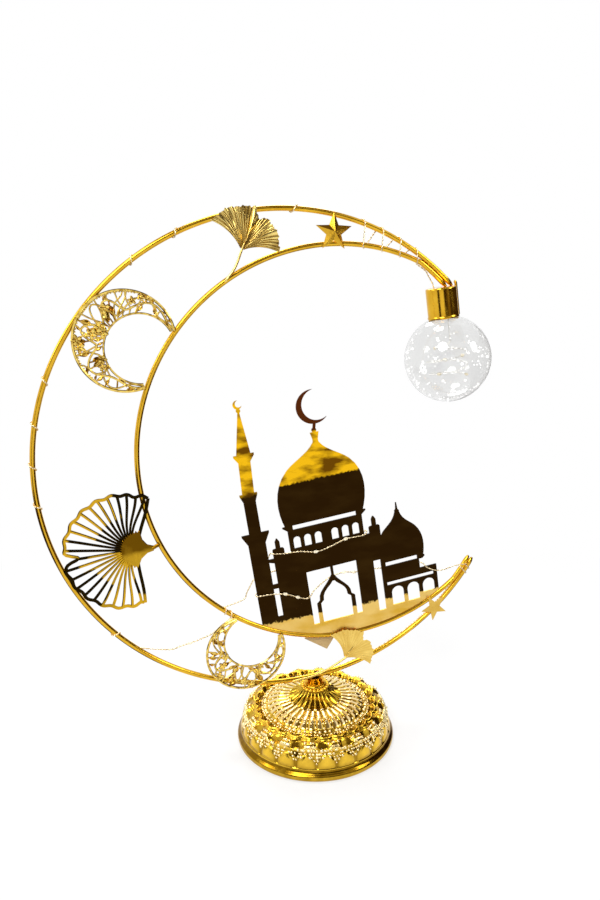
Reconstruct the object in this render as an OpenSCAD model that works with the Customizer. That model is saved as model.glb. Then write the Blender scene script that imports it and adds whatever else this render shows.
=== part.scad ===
// Crescent table lantern: two bent rods make a leaning crescent that carries a cut-out mosque, leaves,
// stars, openwork crescents and a globe light, and stands on a round ornamental battery base.
// Millimetres, +Z up, origin on the table under the middle of the base, front towards -Y.
// Pieces of the crescent are drawn flat from the outer ring's centre: x right, y up, z to the front.

/* [Crescent] */
// Radius of the outer ring to the middle of its rod
outer_ring_r = 164.5; // [140:0.5:190]
// Widest gap between the two rings, from rod middle to rod middle
crescent_w = 63.9; // [50:0.1:80]
// Half of the angle that is left open between the crescent's tips, in degrees
opening_half_angle = 40; // [32:0.5:48]
// Diameter of the rod that both rings are bent from
rod_d = 3.5; // [2.5:0.1:5]
// Turn of the whole crescent in its own plane, in degrees
crescent_lean = 8; // [0:0.5:12]
// Distance of the outer ring's centre from the post's axis
seat_offset = 16.7; // [5:0.1:25]

/* [Base shell] */
// Diameter of the base at its rim
base_d = 115; // [108:1:135]
// Height of the shell's top above the table
base_h = 41; // [38:0.5:50]
// Gap that the rubber feet leave under the rim
rim_lift = 1; // [0.5:0.1:1.8]
// Height of the plain band around the rim
rim_h = 4; // [3:0.1:5]
// Wall of the shell
shell_wall = 1.5; // [1:0.1:2]
// Radius at which the petalled side turns into the shoulder
shoulder_r = 47; // [44.5:0.1:49]
// Height of the shoulder
shoulder_h = 22.5; // [21:0.1:24]
// Number of petals around the side
petal_count = 24; // [12:1:40]
// How far the petals stand out of the side
petal_relief = 1.4; // [0.4:0.1:2]
// Radius of the ring of beads
bead_ring_r = 38.5; // [36:0.1:40]
// Diameter of one bead
bead_d = 4.8; // [3:0.1:5.5]
// Number of beads
bead_count = 30; // [20:1:40]
// Height of the scroll tier inside the beads
tier_h = 24.4; // [23:0.1:26]
// Radius at which the fluted neck starts
flute_r = 26.5; // [22:0.1:30]
// Height at which the fluted neck starts
flute_h = 28.5; // [27:0.1:31]
// Number of flutes
flute_count = 24; // [12:1:40]
// Height of the flutes' ribs
flute_relief = 0.9; // [0.3:0.1:1.2]
// Radius of the neck at its top
neck_r = 8.4; // [8:0.1:10]

/* [Post] */
// Outer diameter of the hollow post
post_d = 9; // [8:0.1:9.4]
// Bore of the post, which the light string passes through
post_bore_d = 7.2; // [6:0.1:7.4]
// Diameter of the post's flange
post_flange_d = 11.2; // [10.4:0.1:14]
// Thickness of the post's flange
post_flange_h = 1.2; // [0.8:0.1:2]
// Height of the rod's middle above the flange
post_rise = 2.3; // [2.2:0.1:5]
// Height of the post's open mouth below the rod's middle
mouth_drop = 0.9; // [0.8:0.1:1.2]
// Diameter of the collar's flange
collar_d = 14.8; // [13:0.1:18]
// Thickness of the collar's flange
collar_h = 1.5; // [1:0.1:3]
// Hole in the shell's top
neck_hole_d = 10.8; // [10.2:0.1:11]
// Outer diameter of the washer
washer_d = 12.6; // [12:0.1:13.2]
// Thickness of the washer
washer_t = 1; // [0.6:0.1:1.4]
// Nut's width across its flats
nut_af = 11; // [10.4:0.1:11.4]
// Nut's height
nut_h = 3.5; // [2.5:0.1:4.5]

/* [Battery base] */
// Thickness of the bottom plate
plate_t = 2; // [1.5:0.1:2.5]
// Height of a rubber foot
foot_h = 2.5; // [2:0.1:3]
// Depth of a foot's recess in the bottom plate
foot_recess = 0.5; // [0.3:0.1:0.9]
// Diameter of a rubber foot
foot_d = 10; // [6:0.5:12]
// Radius of the circle of feet
foot_ring_r = 45.5; // [44:0.5:46.5]
// Diameter of a battery cell
cell_d = 14.5; // [10.5:0.1:14.7]
// Length of a battery cell
cell_l = 50.5; // [44.5:0.1:51]
// Number of cells side by side
cell_count = 2; // [1:1:2]
// Room along the bay for one contact spring
spring_space = 6.7; // [5:0.1:7]
// Wire diameter of a contact spring
spring_wire_d = 0.7; // [0.5:0.1:0.9]
// Wall around the battery bay
bay_wall = 3; // [2:0.1:3.2]
// Roof over the battery bay
bay_roof = 1.5; // [1:0.1:1.8]
// Ledge that the battery door closes against
door_ledge = 1.5; // [1:0.1:1.8]
// Thickness of a contact plate
contact_t = 0.4; // [0.3:0.1:0.6]
// Travel of the switch slider
switch_travel = 4; // [2:0.5:5]
// Length of the switch case
switch_l = 14; // [12:0.5:16]
// Width of the switch case
switch_w = 7; // [5:0.5:8]
// Height of the switch case
switch_h = 5; // [4:0.5:6]
// Diameter of a housing screw's shank
screw_d = 2.2; // [2:0.1:3]
// Diameter of a housing screw's head
screw_head_d = 4.8; // [4:0.1:6]
// Height of the screw lugs above the bottom plate
lug_h = 5.5; // [5:0.1:6]
// How far a housing screw's middle stays in from the shell's inner wall
screw_inset = 5; // [4:0.1:6]

/* [Bulb] */
// Diameter of the clear globe
globe_d = 60; // [50:1:70]
// Wall of the globe
globe_wall = 1.2; // [0.8:0.1:2]
// Diameter of the metal cap
cap_d = 21; // [18:0.5:24]
// Height of the metal cap
cap_h = 21; // [16:0.5:26]
// Wall of the cap
cap_wall = 0.8; // [0.5:0.1:1.2]
// Distance of the cap's axis inside the crescent's upper tip
cap_inset = 2.7; // [1:0.1:4]
// Distance of the cap's top below the crescent's upper tip
cap_drop = 7.2; // [5:0.1:9]
// Diameter of the wire hook down the cap's side
hook_d = 2; // [1.5:0.1:2.5]

/* [Mosque plate] */
// Thickness of the mosque plate
mosque_t = 1; // [0.8:0.1:1.5]
// Place of the dome's axis, from the inner ring's centre
dome_x = -19; // [-24:0.5:-14]
// Width of the front wall
facade_w = 78; // [76:0.5:80]
// Height of the front wall above the inner ring's lowest point
facade_h = 71.3; // [70:0.1:74]
// Width of the drum under the dome
drum_w = 55; // [52:0.5:60]
// Height of the drum
drum_h = 18.8; // [18:0.1:22]
// Widest width of the main dome
dome_w = 63; // [60:0.5:68]
// Height of the main dome above the drum
dome_h = 56; // [50:0.5:62]
// Place of the minaret's axis, from the inner ring's centre
minaret_x = -69; // [-70:0.1:-68]
// Width of the minaret's lower shaft
minaret_w = 12.4; // [11:0.1:13]
// Width of the door opening
door_w = 37.6; // [34:0.1:40]
// Height of the door opening's top above the inner ring's lowest point
door_top = 53.7; // [50:0.1:58]
// Width of the right wing, from the front wall's right edge
wing_w = 41; // [40:0.1:43]
// Widest width of the small dome
small_dome_w = 35; // [30:0.5:37]

/* [Ornaments] */
// Thickness of the flat ornaments
ornament_t = 0.9; // [0.6:0.1:1.4]
// Radius of the large openwork crescent
filigree_large_r = 31; // [26:0.5:34]
// Radius of the small openwork crescent
filigree_small_r = 27.8; // [24:0.1:30]
// Radius of the top ginkgo leaf
leaf_top_r = 27; // [22:0.5:30]
// Radius of the bottom ginkgo leaf
leaf_bottom_r = 23; // [18:0.5:26]
// Radius of the openwork ginkgo leaf on its axis
leaf_open_r = 48.5; // [42:0.5:50]
// Radius of the upper star
star_upper_r = 12.6; // [9:0.1:14]
// Depth of the upper star's facets
star_upper_depth = 4; // [2:0.1:6]
// Radius of the lower star
star_lower_r = 10.3; // [8:0.1:12]

/* [Light string] */
// Diameter of the light string's wire
string_d = 0.7; // [0.5:0.05:0.9]
// Diameter of one LED drop
led_d = 2.2; // [1.6:0.1:2.4]
// Turns of the string around both rods at the upper horn
horn_turns = 4; // [2:1:6]
// Loops of the string inside the globe
bulb_loops = 3; // [2:1:4]

/* [Hidden] */
$fn = 64;

// Clearances: of a running fit, of loose pieces, of wire from what it lies on
run_gap = 0.05;
loose_gap = 0.3;
wire_gap = 0.15;
cut = 1;

// Rings: the inner one is set by the widest gap and by meeting the outer one at the tips
rod_r = rod_d / 2;
ring_left = outer_ring_r - crescent_w;
ring_offset = (outer_ring_r * outer_ring_r - ring_left * ring_left)
  / (2 * (ring_left + outer_ring_r * cos(opening_half_angle)));
inner_ring_r = ring_left + ring_offset;
inner_centre = [ring_offset, 0];
tip = outer_ring_r * [cos(opening_half_angle), sin(opening_half_angle)];
side_ring_r = outer_ring_r - rod_d;
join_x = (side_ring_r * side_ring_r - inner_ring_r * inner_ring_r + ring_offset * ring_offset)
  / (2 * ring_offset);
join_y = sqrt(side_ring_r * side_ring_r - join_x * join_x);
join_angle = atan2(join_y, join_x);
inner_join_angle = atan2(join_y, join_x - ring_offset);
end_angle = opening_half_angle - 1;
cut_angle = opening_half_angle - 6;

// Heights on the post's axis
base_r = base_d / 2;
collar_top = base_h + collar_h;
flange_top = collar_top + run_gap + post_flange_h;
seat_z = flange_top + post_rise;
mouth_z = seat_z - mouth_drop;
neck_ceiling = base_h - shell_wall;
nut_top = neck_ceiling - washer_t - run_gap;
nut_bottom = nut_top - nut_h;
post_bottom = nut_bottom - 1;
lead_end_z = nut_bottom + 1;
ring_centre = [-seat_offset, 0, seat_z + sqrt(outer_ring_r * outer_ring_r - seat_offset * seat_offset)];
seat_angle = atan2(seat_z - ring_centre[2], seat_offset) - crescent_lean;

// Bottom plate and battery bay
plate_z = foot_h - foot_recess;
plate_top = plate_z + plate_t;
cell_pitch = cell_d + 0.5;
bay_w = cell_count * cell_pitch + 0.2;
bay_l = cell_l + spring_space + 2 * contact_t;
cell_z = plate_top + loose_gap + cell_d / 2;
bay_ceiling = cell_z + cell_d / 2 + 0.5;
door_l = bay_l + 2 * door_ledge;
door_plate_w = bay_w + 2 * door_ledge;
door_gap = 0.3;
switch_y = bay_w / 2 + bay_wall + switch_w / 2 + 5;
slider_l = 4;
slider_w = 3.3;
slider_gap = 0.2;
slot_l = slider_l + switch_travel + 2 * slider_gap;
slot_w = slider_w + 2 * slider_gap;

// Shell section: the side is a quarter ellipse, the neck a hollow quarter ellipse
shell_steps = 120;
rim_top = rim_lift + rim_h;
petal_r = base_r - 2.4;
lug_top = plate_top + lug_h;
bead_r = bead_d / 2;
bead_z = tier_h - bead_r * 0.35;
bead_core = 0.45;
neck_top = base_h - 1;
function side_spot(q) = [
  shoulder_r + (petal_r - shoulder_r) * cos(q), rim_top + (shoulder_h - rim_top) * sin(q)];
function side_r(z) = shoulder_r
  + (petal_r - shoulder_r) * sqrt(1 - pow((z - rim_top) / (shoulder_h - rim_top), 2));
function neck_spot(q) = [
  neck_r + (flute_r - neck_r) * (1 - sin(q)), flute_h + (neck_top - flute_h) * (1 - cos(q))];
shell_inner_r = side_r(lug_top) - shell_wall;
screw_ring_r = shell_inner_r - screw_inset;

// A section row is radius, height, relief outwards, relief upwards and the relief's count around
function petal_row(q) = concat(
  side_spot(q), petal_relief * sin(2 * q) * [cos(q), sin(q)], [petal_count]);
function bead_row(q) = concat(
  [bead_ring_r + bead_core * bead_r * cos(q), bead_z + bead_core * bead_r * sin(q)],
  (1 - bead_core) * bead_r * [cos(q), sin(q)], [bead_count]);
function flute_row(q) = concat(neck_spot(q), flute_relief * [sin(q), cos(q)], [flute_count]);
function plain_row(r, z) = [r, z, 0, 0, 0];
function neck_inside(q) = plain_row(
  neck_spot(q)[0] - shell_wall * sin(q), neck_spot(q)[1] - shell_wall * cos(q));
scroll_r = (bead_ring_r + flute_r) / 2;
shell_rows = concat(
  [plain_row(base_r - 0.8, rim_lift), plain_row(base_r, rim_lift + 0.8)],
  [plain_row(base_r, rim_top - 1.2), plain_row(base_r - 0.9, rim_top), plain_row(petal_r, rim_top)],
  [for (q = [18, 36, 54, 72]) petal_row(q)],
  [plain_row(shoulder_r, shoulder_h), plain_row(bead_ring_r + 1.1 * bead_r, bead_z - bead_core * bead_r)],
  [for (q = [20, 60, 100, 150]) bead_row(q)],
  [plain_row(bead_ring_r - 1.1 * bead_r, tier_h)],
  [[scroll_r, (tier_h + flute_h) / 2 + 0.8, 0.3, 1.2, flute_count / 2], plain_row(flute_r, flute_h)],
  [for (q = [15, 35, 55, 75, 90]) flute_row(q)],
  [plain_row(neck_r - 0.5, base_h), plain_row(neck_hole_d / 2, base_h)],
  [plain_row(neck_hole_d / 2, neck_ceiling)],
  [plain_row(neck_r - shell_wall, neck_ceiling), plain_row(neck_r - shell_wall, neck_ceiling - 2.5)],
  [neck_inside(50), neck_inside(10), plain_row(bead_ring_r - bead_r, tier_h - shell_wall - 0.3)],
  [plain_row(shoulder_r - 2.5, shoulder_h - shell_wall)],
  [plain_row(side_spot(36)[0] - 1.6 * shell_wall, side_spot(36)[1])],
  [plain_row(shell_inner_r, lug_top), plain_row(shell_inner_r, rim_lift)]
);

// Light string: how far its middle stays from a rod's middle, close or with room for an LED drop
string_r = string_d / 2;
led_r = led_d / 2;
hug = rod_r + string_r + wire_gap;
back_hug = rod_r + led_r + wire_gap;
face_hug = mosque_t / 2 + string_r + wire_gap;
led_hug = mosque_t / 2 + led_r + wire_gap;

// Bulb
cap_r = cap_d / 2;
globe_r = globe_d / 2;
cap_x = tip[0] - cap_inset;
cap_top = tip[1] - cap_drop;
cap_bottom = cap_top - cap_h;
neck_out_r = cap_r - cap_wall - loose_gap;
globe_y = cap_bottom - sqrt(globe_r * globe_r - pow(cap_r - cap_wall, 2));
globe_neck_h = cap_h * 0.45;
plug_h = 4;
plug_top = cap_bottom + globe_neck_h;
string_hole_d = 2.4;
string_hole_x = cap_x - cap_r / 2;

// Helpers
function unit(v) = v / norm(v);
function polar(r, a) = r * [cos(a), sin(a)];
// Distance from the outer ring's centre to the inner ring's rod in direction a
function inner_reach(a) = ring_offset * cos(a)
  + sqrt(inner_ring_r * inner_ring_r - pow(ring_offset * sin(a), 2));
function bezier(p, t) = p[0] * pow(1 - t, 3) + 3 * p[1] * t * pow(1 - t, 2)
  + 3 * p[2] * t * t * (1 - t) + p[3] * pow(t, 3);
function curve(p, steps) = [for (i = [0:steps]) bezier(p, i / steps)];
function mirrored(half, x) = concat(
  [for (p = half) [x + p[0], p[1]]],
  [for (i = [len(half) - 1:-1:0]) [x - half[i][0], half[i][1]]]);

// A smooth run through hand-set points, steps pieces between each two
function spline_spot(p, i, t) = let (
    a = p[max(i - 1, 0)], b = p[i], c = p[min(i + 1, len(p) - 1)], d = p[min(i + 2, len(p) - 1)]
  ) 0.5 * (2 * b + (c - a) * t + (2 * a - 5 * b + 4 * c - d) * t * t + (3 * b - a - 3 * c + d) * t * t * t);
function smooth_run(p, steps) = concat(
  [for (i = [0:len(p) - 2]) for (k = [0:steps - 1]) spline_spot(p, i, k / steps)], [p[len(p) - 1]]);

// A tube along points, its sides carried along without twist
function heading(p, i) = unit(p[min(i + 1, len(p) - 1)] - p[max(i - 1, 0)]);
function square_to(n, t) = unit(n - (n * t) * t);
function side_axes(p) = [
  for (i = 0, n = square_to([0.36, 0.48, 0.8], heading(p, 0)); i < len(p);
       i = i + 1, n = square_to(n, heading(p, min(i, len(p) - 1)))) n];
module tube(p, d, sides) {
  axes = side_axes(p);
  spots = [
    for (i = [0:len(p) - 1])
      let (t = heading(p, i), n = square_to(axes[i], t), b = cross(t, n))
        for (k = [0:sides - 1]) p[i] + d / 2 * (cos(360 * k / sides) * n + sin(360 * k / sides) * b)];
  last = (len(p) - 1) * sides;
  skin = [
    for (i = [0:len(p) - 2]) for (k = [0:sides - 1])
      let (a = i * sides + k, b = i * sides + (k + 1) % sides)
        each [[a, a + sides, b + sides], [a, b + sides, b]]];
  ends = [for (k = [1:sides - 2]) each [[0, k, k + 1], [last, last + k + 1, last + k]]];
  polyhedron(spots, concat(skin, ends));
}

// A sheet over rows of points, thick towards the front
module sheet(rows, t) {
  nr = len(rows);
  nc = len(rows[0]);
  spots = concat([for (r = rows) each r], [for (r = rows) for (p = r) p + [0, 0, t]]);
  top = nr * nc;
  skin = [
    for (i = [0:nr - 2]) for (k = [0:nc - 2])
      let (a = i * nc + k, b = a + 1, c = a + nc, d = c + 1)
        each [[a, b, d], [a, d, c], [top + a, top + d, top + b], [top + a, top + c, top + d]]];
  low_rim = [for (k = [0:nc - 2]) each [[k, top + k, top + k + 1], [k, top + k + 1, k + 1]]];
  high = (nr - 1) * nc;
  high_rim = [
    for (k = [0:nc - 2]) let (a = high + k) each [[a, a + 1, top + a + 1], [a, top + a + 1, top + a]]];
  left_rim = [
    for (i = [0:nr - 2]) let (a = i * nc, c = a + nc) each [[a, c, top + c], [a, top + c, top + a]]];
  right_rim = [
    for (i = [1:nr - 1]) let (a = i * nc - 1, c = a + nc) each [[a, top + a, top + c], [a, top + c, c]]];
  polyhedron(spots, concat(skin, low_rim, high_rim, left_rim, right_rim));
}

// Places a flat-drawn piece of the crescent on the post
module in_crescent() {
  translate(ring_centre) rotate([0, -crescent_lean, 0]) rotate([90, 0, 0]) children();
}
// A point of the table's frame in the crescent's flat frame
function flat_spot(p) = let (x = p[0] - ring_centre[0], y = p[2] - ring_centre[2]) [
    x * cos(crescent_lean) + y * sin(crescent_lean), y * cos(crescent_lean) - x * sin(crescent_lean),
    -p[1]];
module in_front() {
  in_crescent() translate([0, 0, rod_r]) children();
}
module rod_arc(r, from, to) {
  rotate([0, 0, from]) rotate_extrude(angle = to - from, $fn = 180) translate([r, 0])
    circle(rod_r, $fn = 32);
}
module around(count, r, first) {
  for (k = [0:count - 1]) rotate([0, 0, first + k * 360 / count]) translate([r, 0, 0]) children();
}

// Base
module base_shell() color("goldenrod") {
  rows = len(shell_rows);
  spots = [
    for (row = shell_rows) for (j = [0:shell_steps - 1])
      let (a = 360 * j / shell_steps, lobe = row[4] == 0 ? 0 : abs(cos(row[4] * a / 2)))
        concat((row[0] + row[2] * lobe) * [cos(a), sin(a)], [row[1] + row[3] * lobe])];
  faces = [
    for (i = [0:rows - 1]) for (j = [0:shell_steps - 1])
      let (up = (i + 1) % rows * shell_steps, next = (j + 1) % shell_steps, low = i * shell_steps)
        each [[low + j, up + j, up + next], [low + j, up + next, low + next]]];
  polyhedron(spots, faces);
}

lug_outer_r = shell_inner_r * cos(180 / shell_steps) - run_gap;
lug_w = 8;
module shell_lugs() color("dimgray") {
  for (a = [90, 210, 330]) rotate([0, 0, a]) difference() {
    intersection() {
      translate([screw_ring_r - lug_w / 2, -lug_w / 2, plate_top]) cube([shell_inner_r, lug_w, lug_h]);
      cylinder(h = base_h, r = lug_outer_r, $fn = 120);
    }
    translate([screw_ring_r, 0, plate_top - cut])
      cylinder(h = lug_h + 2 * cut, d = screw_d + 2 * run_gap);
  }
}

screw_head_h = 1.2;
module housing_screws() color("silver") {
  around(3, screw_ring_r, 90) difference() {
    union() {
      translate([0, 0, plate_z]) cylinder(h = screw_head_h, d = screw_head_d);
      translate([0, 0, plate_z]) cylinder(h = plate_t + lug_h - 0.5, d = screw_d);
    }
    for (turn = [0, 90]) rotate([0, 0, turn])
      translate([-screw_head_d / 2 + 1, -0.3, plate_z - cut]) cube([screw_head_d - 2, 0.6, cut + 0.6]);
  }
}

module battery_housing() color("white") {
  difference() {
    union() {
      translate([0, 0, plate_z]) cylinder(h = plate_t, r = shell_inner_r - loose_gap, $fn = 120);
      translate([-bay_l / 2 - bay_wall, -bay_w / 2 - bay_wall, plate_z])
        cube([bay_l + 2 * bay_wall, bay_w + 2 * bay_wall, bay_ceiling + bay_roof - plate_z]);
    }
    translate([-bay_l / 2, -bay_w / 2, plate_z - cut])
      cube([bay_l, bay_w, bay_ceiling - plate_z + cut]);
    translate([-door_l / 2 - door_gap, -door_plate_w / 2 - door_gap, plate_z - cut])
      cube([door_l + 2 * door_gap, door_plate_w + 2 * door_gap, plate_t + cut]);
    around(4, foot_ring_r, 45) translate([0, 0, plate_z - cut])
      cylinder(h = foot_recess + cut, d = foot_d + 2 * run_gap);
    around(3, screw_ring_r, 90) translate([0, 0, plate_z - cut]) {
      cylinder(h = plate_t + 2 * cut, d = screw_d + loose_gap);
      cylinder(h = cut + screw_head_h + run_gap, d = screw_head_d + loose_gap);
    }
    translate([-slot_l / 2, switch_y - slot_w / 2, plate_z - cut])
      cube([slot_l, slot_w, plate_t + 2 * cut]);
  }
}

module rubber_feet() color("black") {
  around(4, foot_ring_r, 45) cylinder(h = foot_h, d = foot_d);
}

// Cells lie along X and face opposite ways, so the springs are at opposite ends
nub_h = 1;
nub_d = 5.5;
function cell_y(k) = (k - (cell_count - 1) / 2) * cell_pitch;
module cell_place(k) {
  translate([0, cell_y(k), cell_z]) rotate([0, 0, k % 2 * 180])
    translate([bay_l / 2 - contact_t, 0, 0]) children();
}
module batteries() color("seagreen") {
  for (k = [0:cell_count - 1]) cell_place(k) rotate([0, -90, 0]) {
    cylinder(h = cell_l, d = nub_d);
    translate([0, 0, nub_h]) cylinder(h = cell_l - nub_h, d = cell_d);
  }
}

spring_curls = 4;
module battery_springs() color("silver") {
  r0 = cell_d * 0.3;
  length = spring_space - spring_wire_d;
  steps = spring_curls * 8;
  coil = [
    for (i = [0:steps]) let (t = i / steps, r = r0 * (1 - 0.25 * t))
      [-cell_l - spring_space + spring_wire_d / 2 + t * length, r * cos(t * 360 * spring_curls),
       r * sin(t * 360 * spring_curls)]];
  for (k = [0:cell_count - 1]) cell_place(k) tube(coil, spring_wire_d, 6);
}

module contact_plates() color("lightgray") {
  size = cell_d * 0.8;
  for (side = [-1, 1]) for (k = [0:cell_count - 1])
    translate([side * (bay_l - contact_t) / 2, cell_y(k), cell_z])
      cube([contact_t, size, size], center = true);
}

cavity_h = 1.9;
module switch_body() color("black") {
  difference() {
    translate([-switch_l / 2, switch_y - switch_w / 2, plate_top]) cube([switch_l, switch_w, switch_h]);
    translate([-slot_l / 2, switch_y - slot_w / 2, plate_top - cut])
      cube([slot_l, slot_w, cavity_h + cut]);
  }
}

module switch_slider() color("black") {
  low = plate_z + 0.6;
  rib_w = 0.5;
  rib_h = 0.3;
  translate([-switch_travel / 2, switch_y - slider_w / 2, low]) {
    translate([-slider_l / 2, 0, 0]) cube([slider_l, slider_w, plate_top + cavity_h - slider_gap - low]);
    for (k = [-1, 0, 1]) translate([1.2 * k - rib_w / 2, 0, -rib_h]) cube([rib_w, slider_w, rib_h]);
  }
}

// The door's finger grip is a row of grooves at one end
module battery_door() color("white") {
  grip_w = 12;
  groove_w = 0.8;
  difference() {
    translate([-door_l / 2, -door_plate_w / 2, plate_z]) cube([door_l, door_plate_w, plate_t - 0.1]);
    for (k = [0:4]) translate([door_l / 2 - 12 + 2 * groove_w * k, -grip_w / 2, plate_z - cut])
      cube([groove_w, grip_w, cut + 0.5]);
  }
}

// Leads from the switch up to the middle of the post
lead_d = 1.6;
lead_route = [
  [0, switch_y, plate_top + switch_h + lead_d], [0, 24.5, 16], [0, 21, 21], [0, 15, 24], [0, 8, 26],
  [0, 2.5, 28.5], [0, 0, 31.5], [0, 0, lead_end_z - lead_d]
];
module lead_wires() color("firebrick") {
  first = [0, switch_y, plate_top + switch_h];
  last = [0, 0, lead_end_z];
  tube(concat([first], smooth_run(lead_route, 2), [last]), lead_d, 8);
}

module neck_collar() color("gold") {
  difference() {
    union() {
      translate([0, 0, base_h]) cylinder(h = collar_h, d = collar_d);
      translate([0, 0, neck_ceiling + 0.2])
        cylinder(h = shell_wall, r = neck_hole_d / 2 * cos(180 / shell_steps) - run_gap);
    }
    translate([0, 0, neck_ceiling])
      cylinder(h = shell_wall + collar_h + cut, d = post_d + 2 * run_gap);
  }
}

module post_washer() color("silver") {
  translate([0, 0, neck_ceiling - washer_t]) difference() {
    cylinder(h = washer_t, d = washer_d);
    translate([0, 0, -cut]) cylinder(h = washer_t + 2 * cut, d = post_d + loose_gap);
  }
}

// Crescent
module post() color("gold") {
  difference() {
    union() {
      translate([0, 0, post_bottom]) cylinder(h = mouth_z - post_bottom, d = post_d);
      translate([0, 0, collar_top + run_gap]) cylinder(h = post_flange_h, d = post_flange_d);
    }
    translate([0, 0, post_bottom - cut])
      cylinder(h = mouth_z - post_bottom + 2 * cut, d = post_bore_d);
    in_crescent() rod_arc(outer_ring_r, seat_angle - 10, seat_angle + 10);
  }
}

module post_nut() color("silver") {
  translate([0, 0, nut_bottom]) difference() {
    cylinder(h = nut_h, d = nut_af / cos(30), $fn = 6);
    translate([0, 0, -cut]) cylinder(h = nut_h + 2 * cut, d = post_d + 2 * run_gap);
  }
}

// Both rods stand on the cap's flat top at the upper tip; a weld bead joins the inner rod's pieces
weld_r = rod_r + 0.15;
module above_cap() {
  difference() {
    children();
    translate([cap_x - cap_d, cap_top - cap_h, -cap_d]) cube([2 * cap_d, cap_h + run_gap, 2 * cap_d]);
  }
}
module outer_ring() color("gold") {
  in_crescent() above_cap() rod_arc(outer_ring_r, cut_angle, 360 - end_angle);
}
module inner_ring() color("gold") {
  in_crescent() above_cap() union() {
    translate(inner_centre) rod_arc(inner_ring_r, inner_join_angle, 360 - inner_join_angle);
    rod_arc(side_ring_r, cut_angle, join_angle);
    rod_arc(side_ring_r, -join_angle, -end_angle);
    for (side = [-1, 1]) translate([join_x, side * join_y, 0]) sphere(weld_r, $fn = 32);
  }
}

// Mosque, drawn from the lowest point inside the inner ring
bed_r = inner_ring_r - rod_r;
drum_top = facade_h + drum_h;
dome_top = drum_top + dome_h;
facade_right = dome_x + facade_w / 2;
facade_left = dome_x - facade_w / 2;
lintel_top = facade_h - 1.6;
lintel_h = 3.8;
wing_right = facade_right + wing_w;
wing_h = 35.2;
small_dome_x = facade_right + 15;
small_dome_y = 44.5;
small_dome_h = 38.5;
function bed_height(x) = bed_r - sqrt(bed_r * bed_r - x * x);
module arched(x, y, w, h) {
  translate([x - w / 2, y]) square([w, h - w / 2]);
  translate([x, y + h - w / 2]) circle(d = w, $fn = 32);
}
// The main dome and the minaret's spire lean a little: sideways per height, from a height on
dome_lean = 0.033;
spire_lean = 0.05;
spire_foot = 120.2;
function leaned(spots, from, lean) = [for (p = spots) [p[0] + lean * max(p[1] - from, 0), p[1]]];
// An onion dome from its foot to its neck; it swells up to the share turn of its height
module onion(x, y, foot, wide, h, neck, turn, lean) {
  half = concat(
    curve([[foot / 2, 0], [wide * 0.52, h * 0.2],
      [wide * 0.55, h * (turn - 0.21)], [wide * 0.36, h * turn]], 8),
    curve([[wide * 0.36, h * turn], [wide * 0.26, h * (turn + 0.105)],
      [wide * 0.1, h * (turn + 0.16)], [neck / 2, h]], 7));
  translate([x, y]) polygon(leaned(mirrored(half, 0), 0, lean));
}
module pier(x) {
  half = [[4.2, -facade_h], [4.2, 4.4], [3.5, 5.2], [1.7, 5.4], [1.7, 10.2], [0.4, 12.5]];
  translate([0, facade_h]) polygon(mirrored(half, x));
}
module minaret() {
  lower = minaret_w / 2;
  half = [
    [lower, 0], [lower, 83.4], [lower + 3.5, 90], [lower + 3.5, 91.2], [4.3, 91.2], [4.3, 114.3],
    [6.2, 119], [6.2, spire_foot], [4.2, spire_foot], [4.2, 142.4], [7.1, 146.5], [7.1, 147.8],
    [4.9, 147.8], [0.6, 176.5]];
  ball_y = 177.5;
  ball_x = minaret_x + spire_lean * (ball_y - spire_foot);
  polygon(leaned(mirrored(half, minaret_x), spire_foot, spire_lean));
  translate([ball_x, ball_y]) circle(1.5, $fn = 24);
  translate([ball_x, ball_y + 4]) new_moon(3, 2.4, 1.2, 30);
}
module new_moon(r, hole_r, shift, turn) {
  difference() {
    circle(r, $fn = 48);
    translate(polar(shift, turn)) circle(hole_r, $fn = 48);
  }
}
module main_finial() {
  translate([dome_x + dome_lean * dome_h, dome_top]) {
    polygon(mirrored([[2.1, -1], [1.9, 2], [3.1, 7], [1, 7.2]], 0));
    translate([0, 8.4]) circle(1.7, $fn = 24);
    polygon([[-1, 8.4], [1, 8.4], [2.2, 14], [0.2, 14]]);
    translate([1.7, 24.6]) new_moon(11.9, 10.9, 3.2, 20);
  }
}
module mosque_solid() {
  minaret();
  polygon([
    [facade_left, 0], [facade_right, 0], [facade_right, facade_h], [facade_left, facade_h],
    [facade_left, lintel_top], [minaret_x, lintel_top], [minaret_x, lintel_top - 0.2],
    [facade_left, lintel_top - lintel_h]]);
  translate([minaret_x, 0]) square([facade_left - minaret_x + cut, 25.7]);
  translate([minaret_x, 47.3]) square([facade_left - minaret_x + cut, 3.3]);
  pier(facade_left + 3);
  pier(facade_right - 3.4);
  translate([dome_x - drum_w / 2, facade_h - cut]) square([drum_w, drum_h + cut]);
  cornice = drum_w / 2 + 3.3;
  translate([0, drum_top])
    polygon(mirrored([[drum_w / 2, -3], [cornice, -0.4], [cornice, 0.4], [drum_w / 2, 0.8]], dome_x));
  onion(dome_x, drum_top, drum_w + 2.4, dome_w, dome_h, 4.2, 0.715, dome_lean);
  main_finial();
  translate([facade_right - cut, 0]) square([wing_w + cut, wing_h]);
  small_half = small_dome_w / 2;
  translate([facade_right - cut, 0])
    square([small_dome_x + small_half - 3.6 - facade_right, small_dome_y + 0.5]);
  translate([0, small_dome_y])
    polygon(mirrored([[small_half - 2, -2], [small_half, -0.6], [small_half, 0.5]], small_dome_x));
  onion(small_dome_x, small_dome_y, small_dome_w - 2, small_dome_w, small_dome_h, 3.2, 0.65, 0);
  translate([0, small_dome_y + small_dome_h])
    polygon(mirrored([[1.2, -1], [1.9, 0.6], [0.8, 1.8], [0.3, 7]], small_dome_x));
}
arch_leg = 14.5;
arch_bar = 3;
sill = 12.3;
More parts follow.
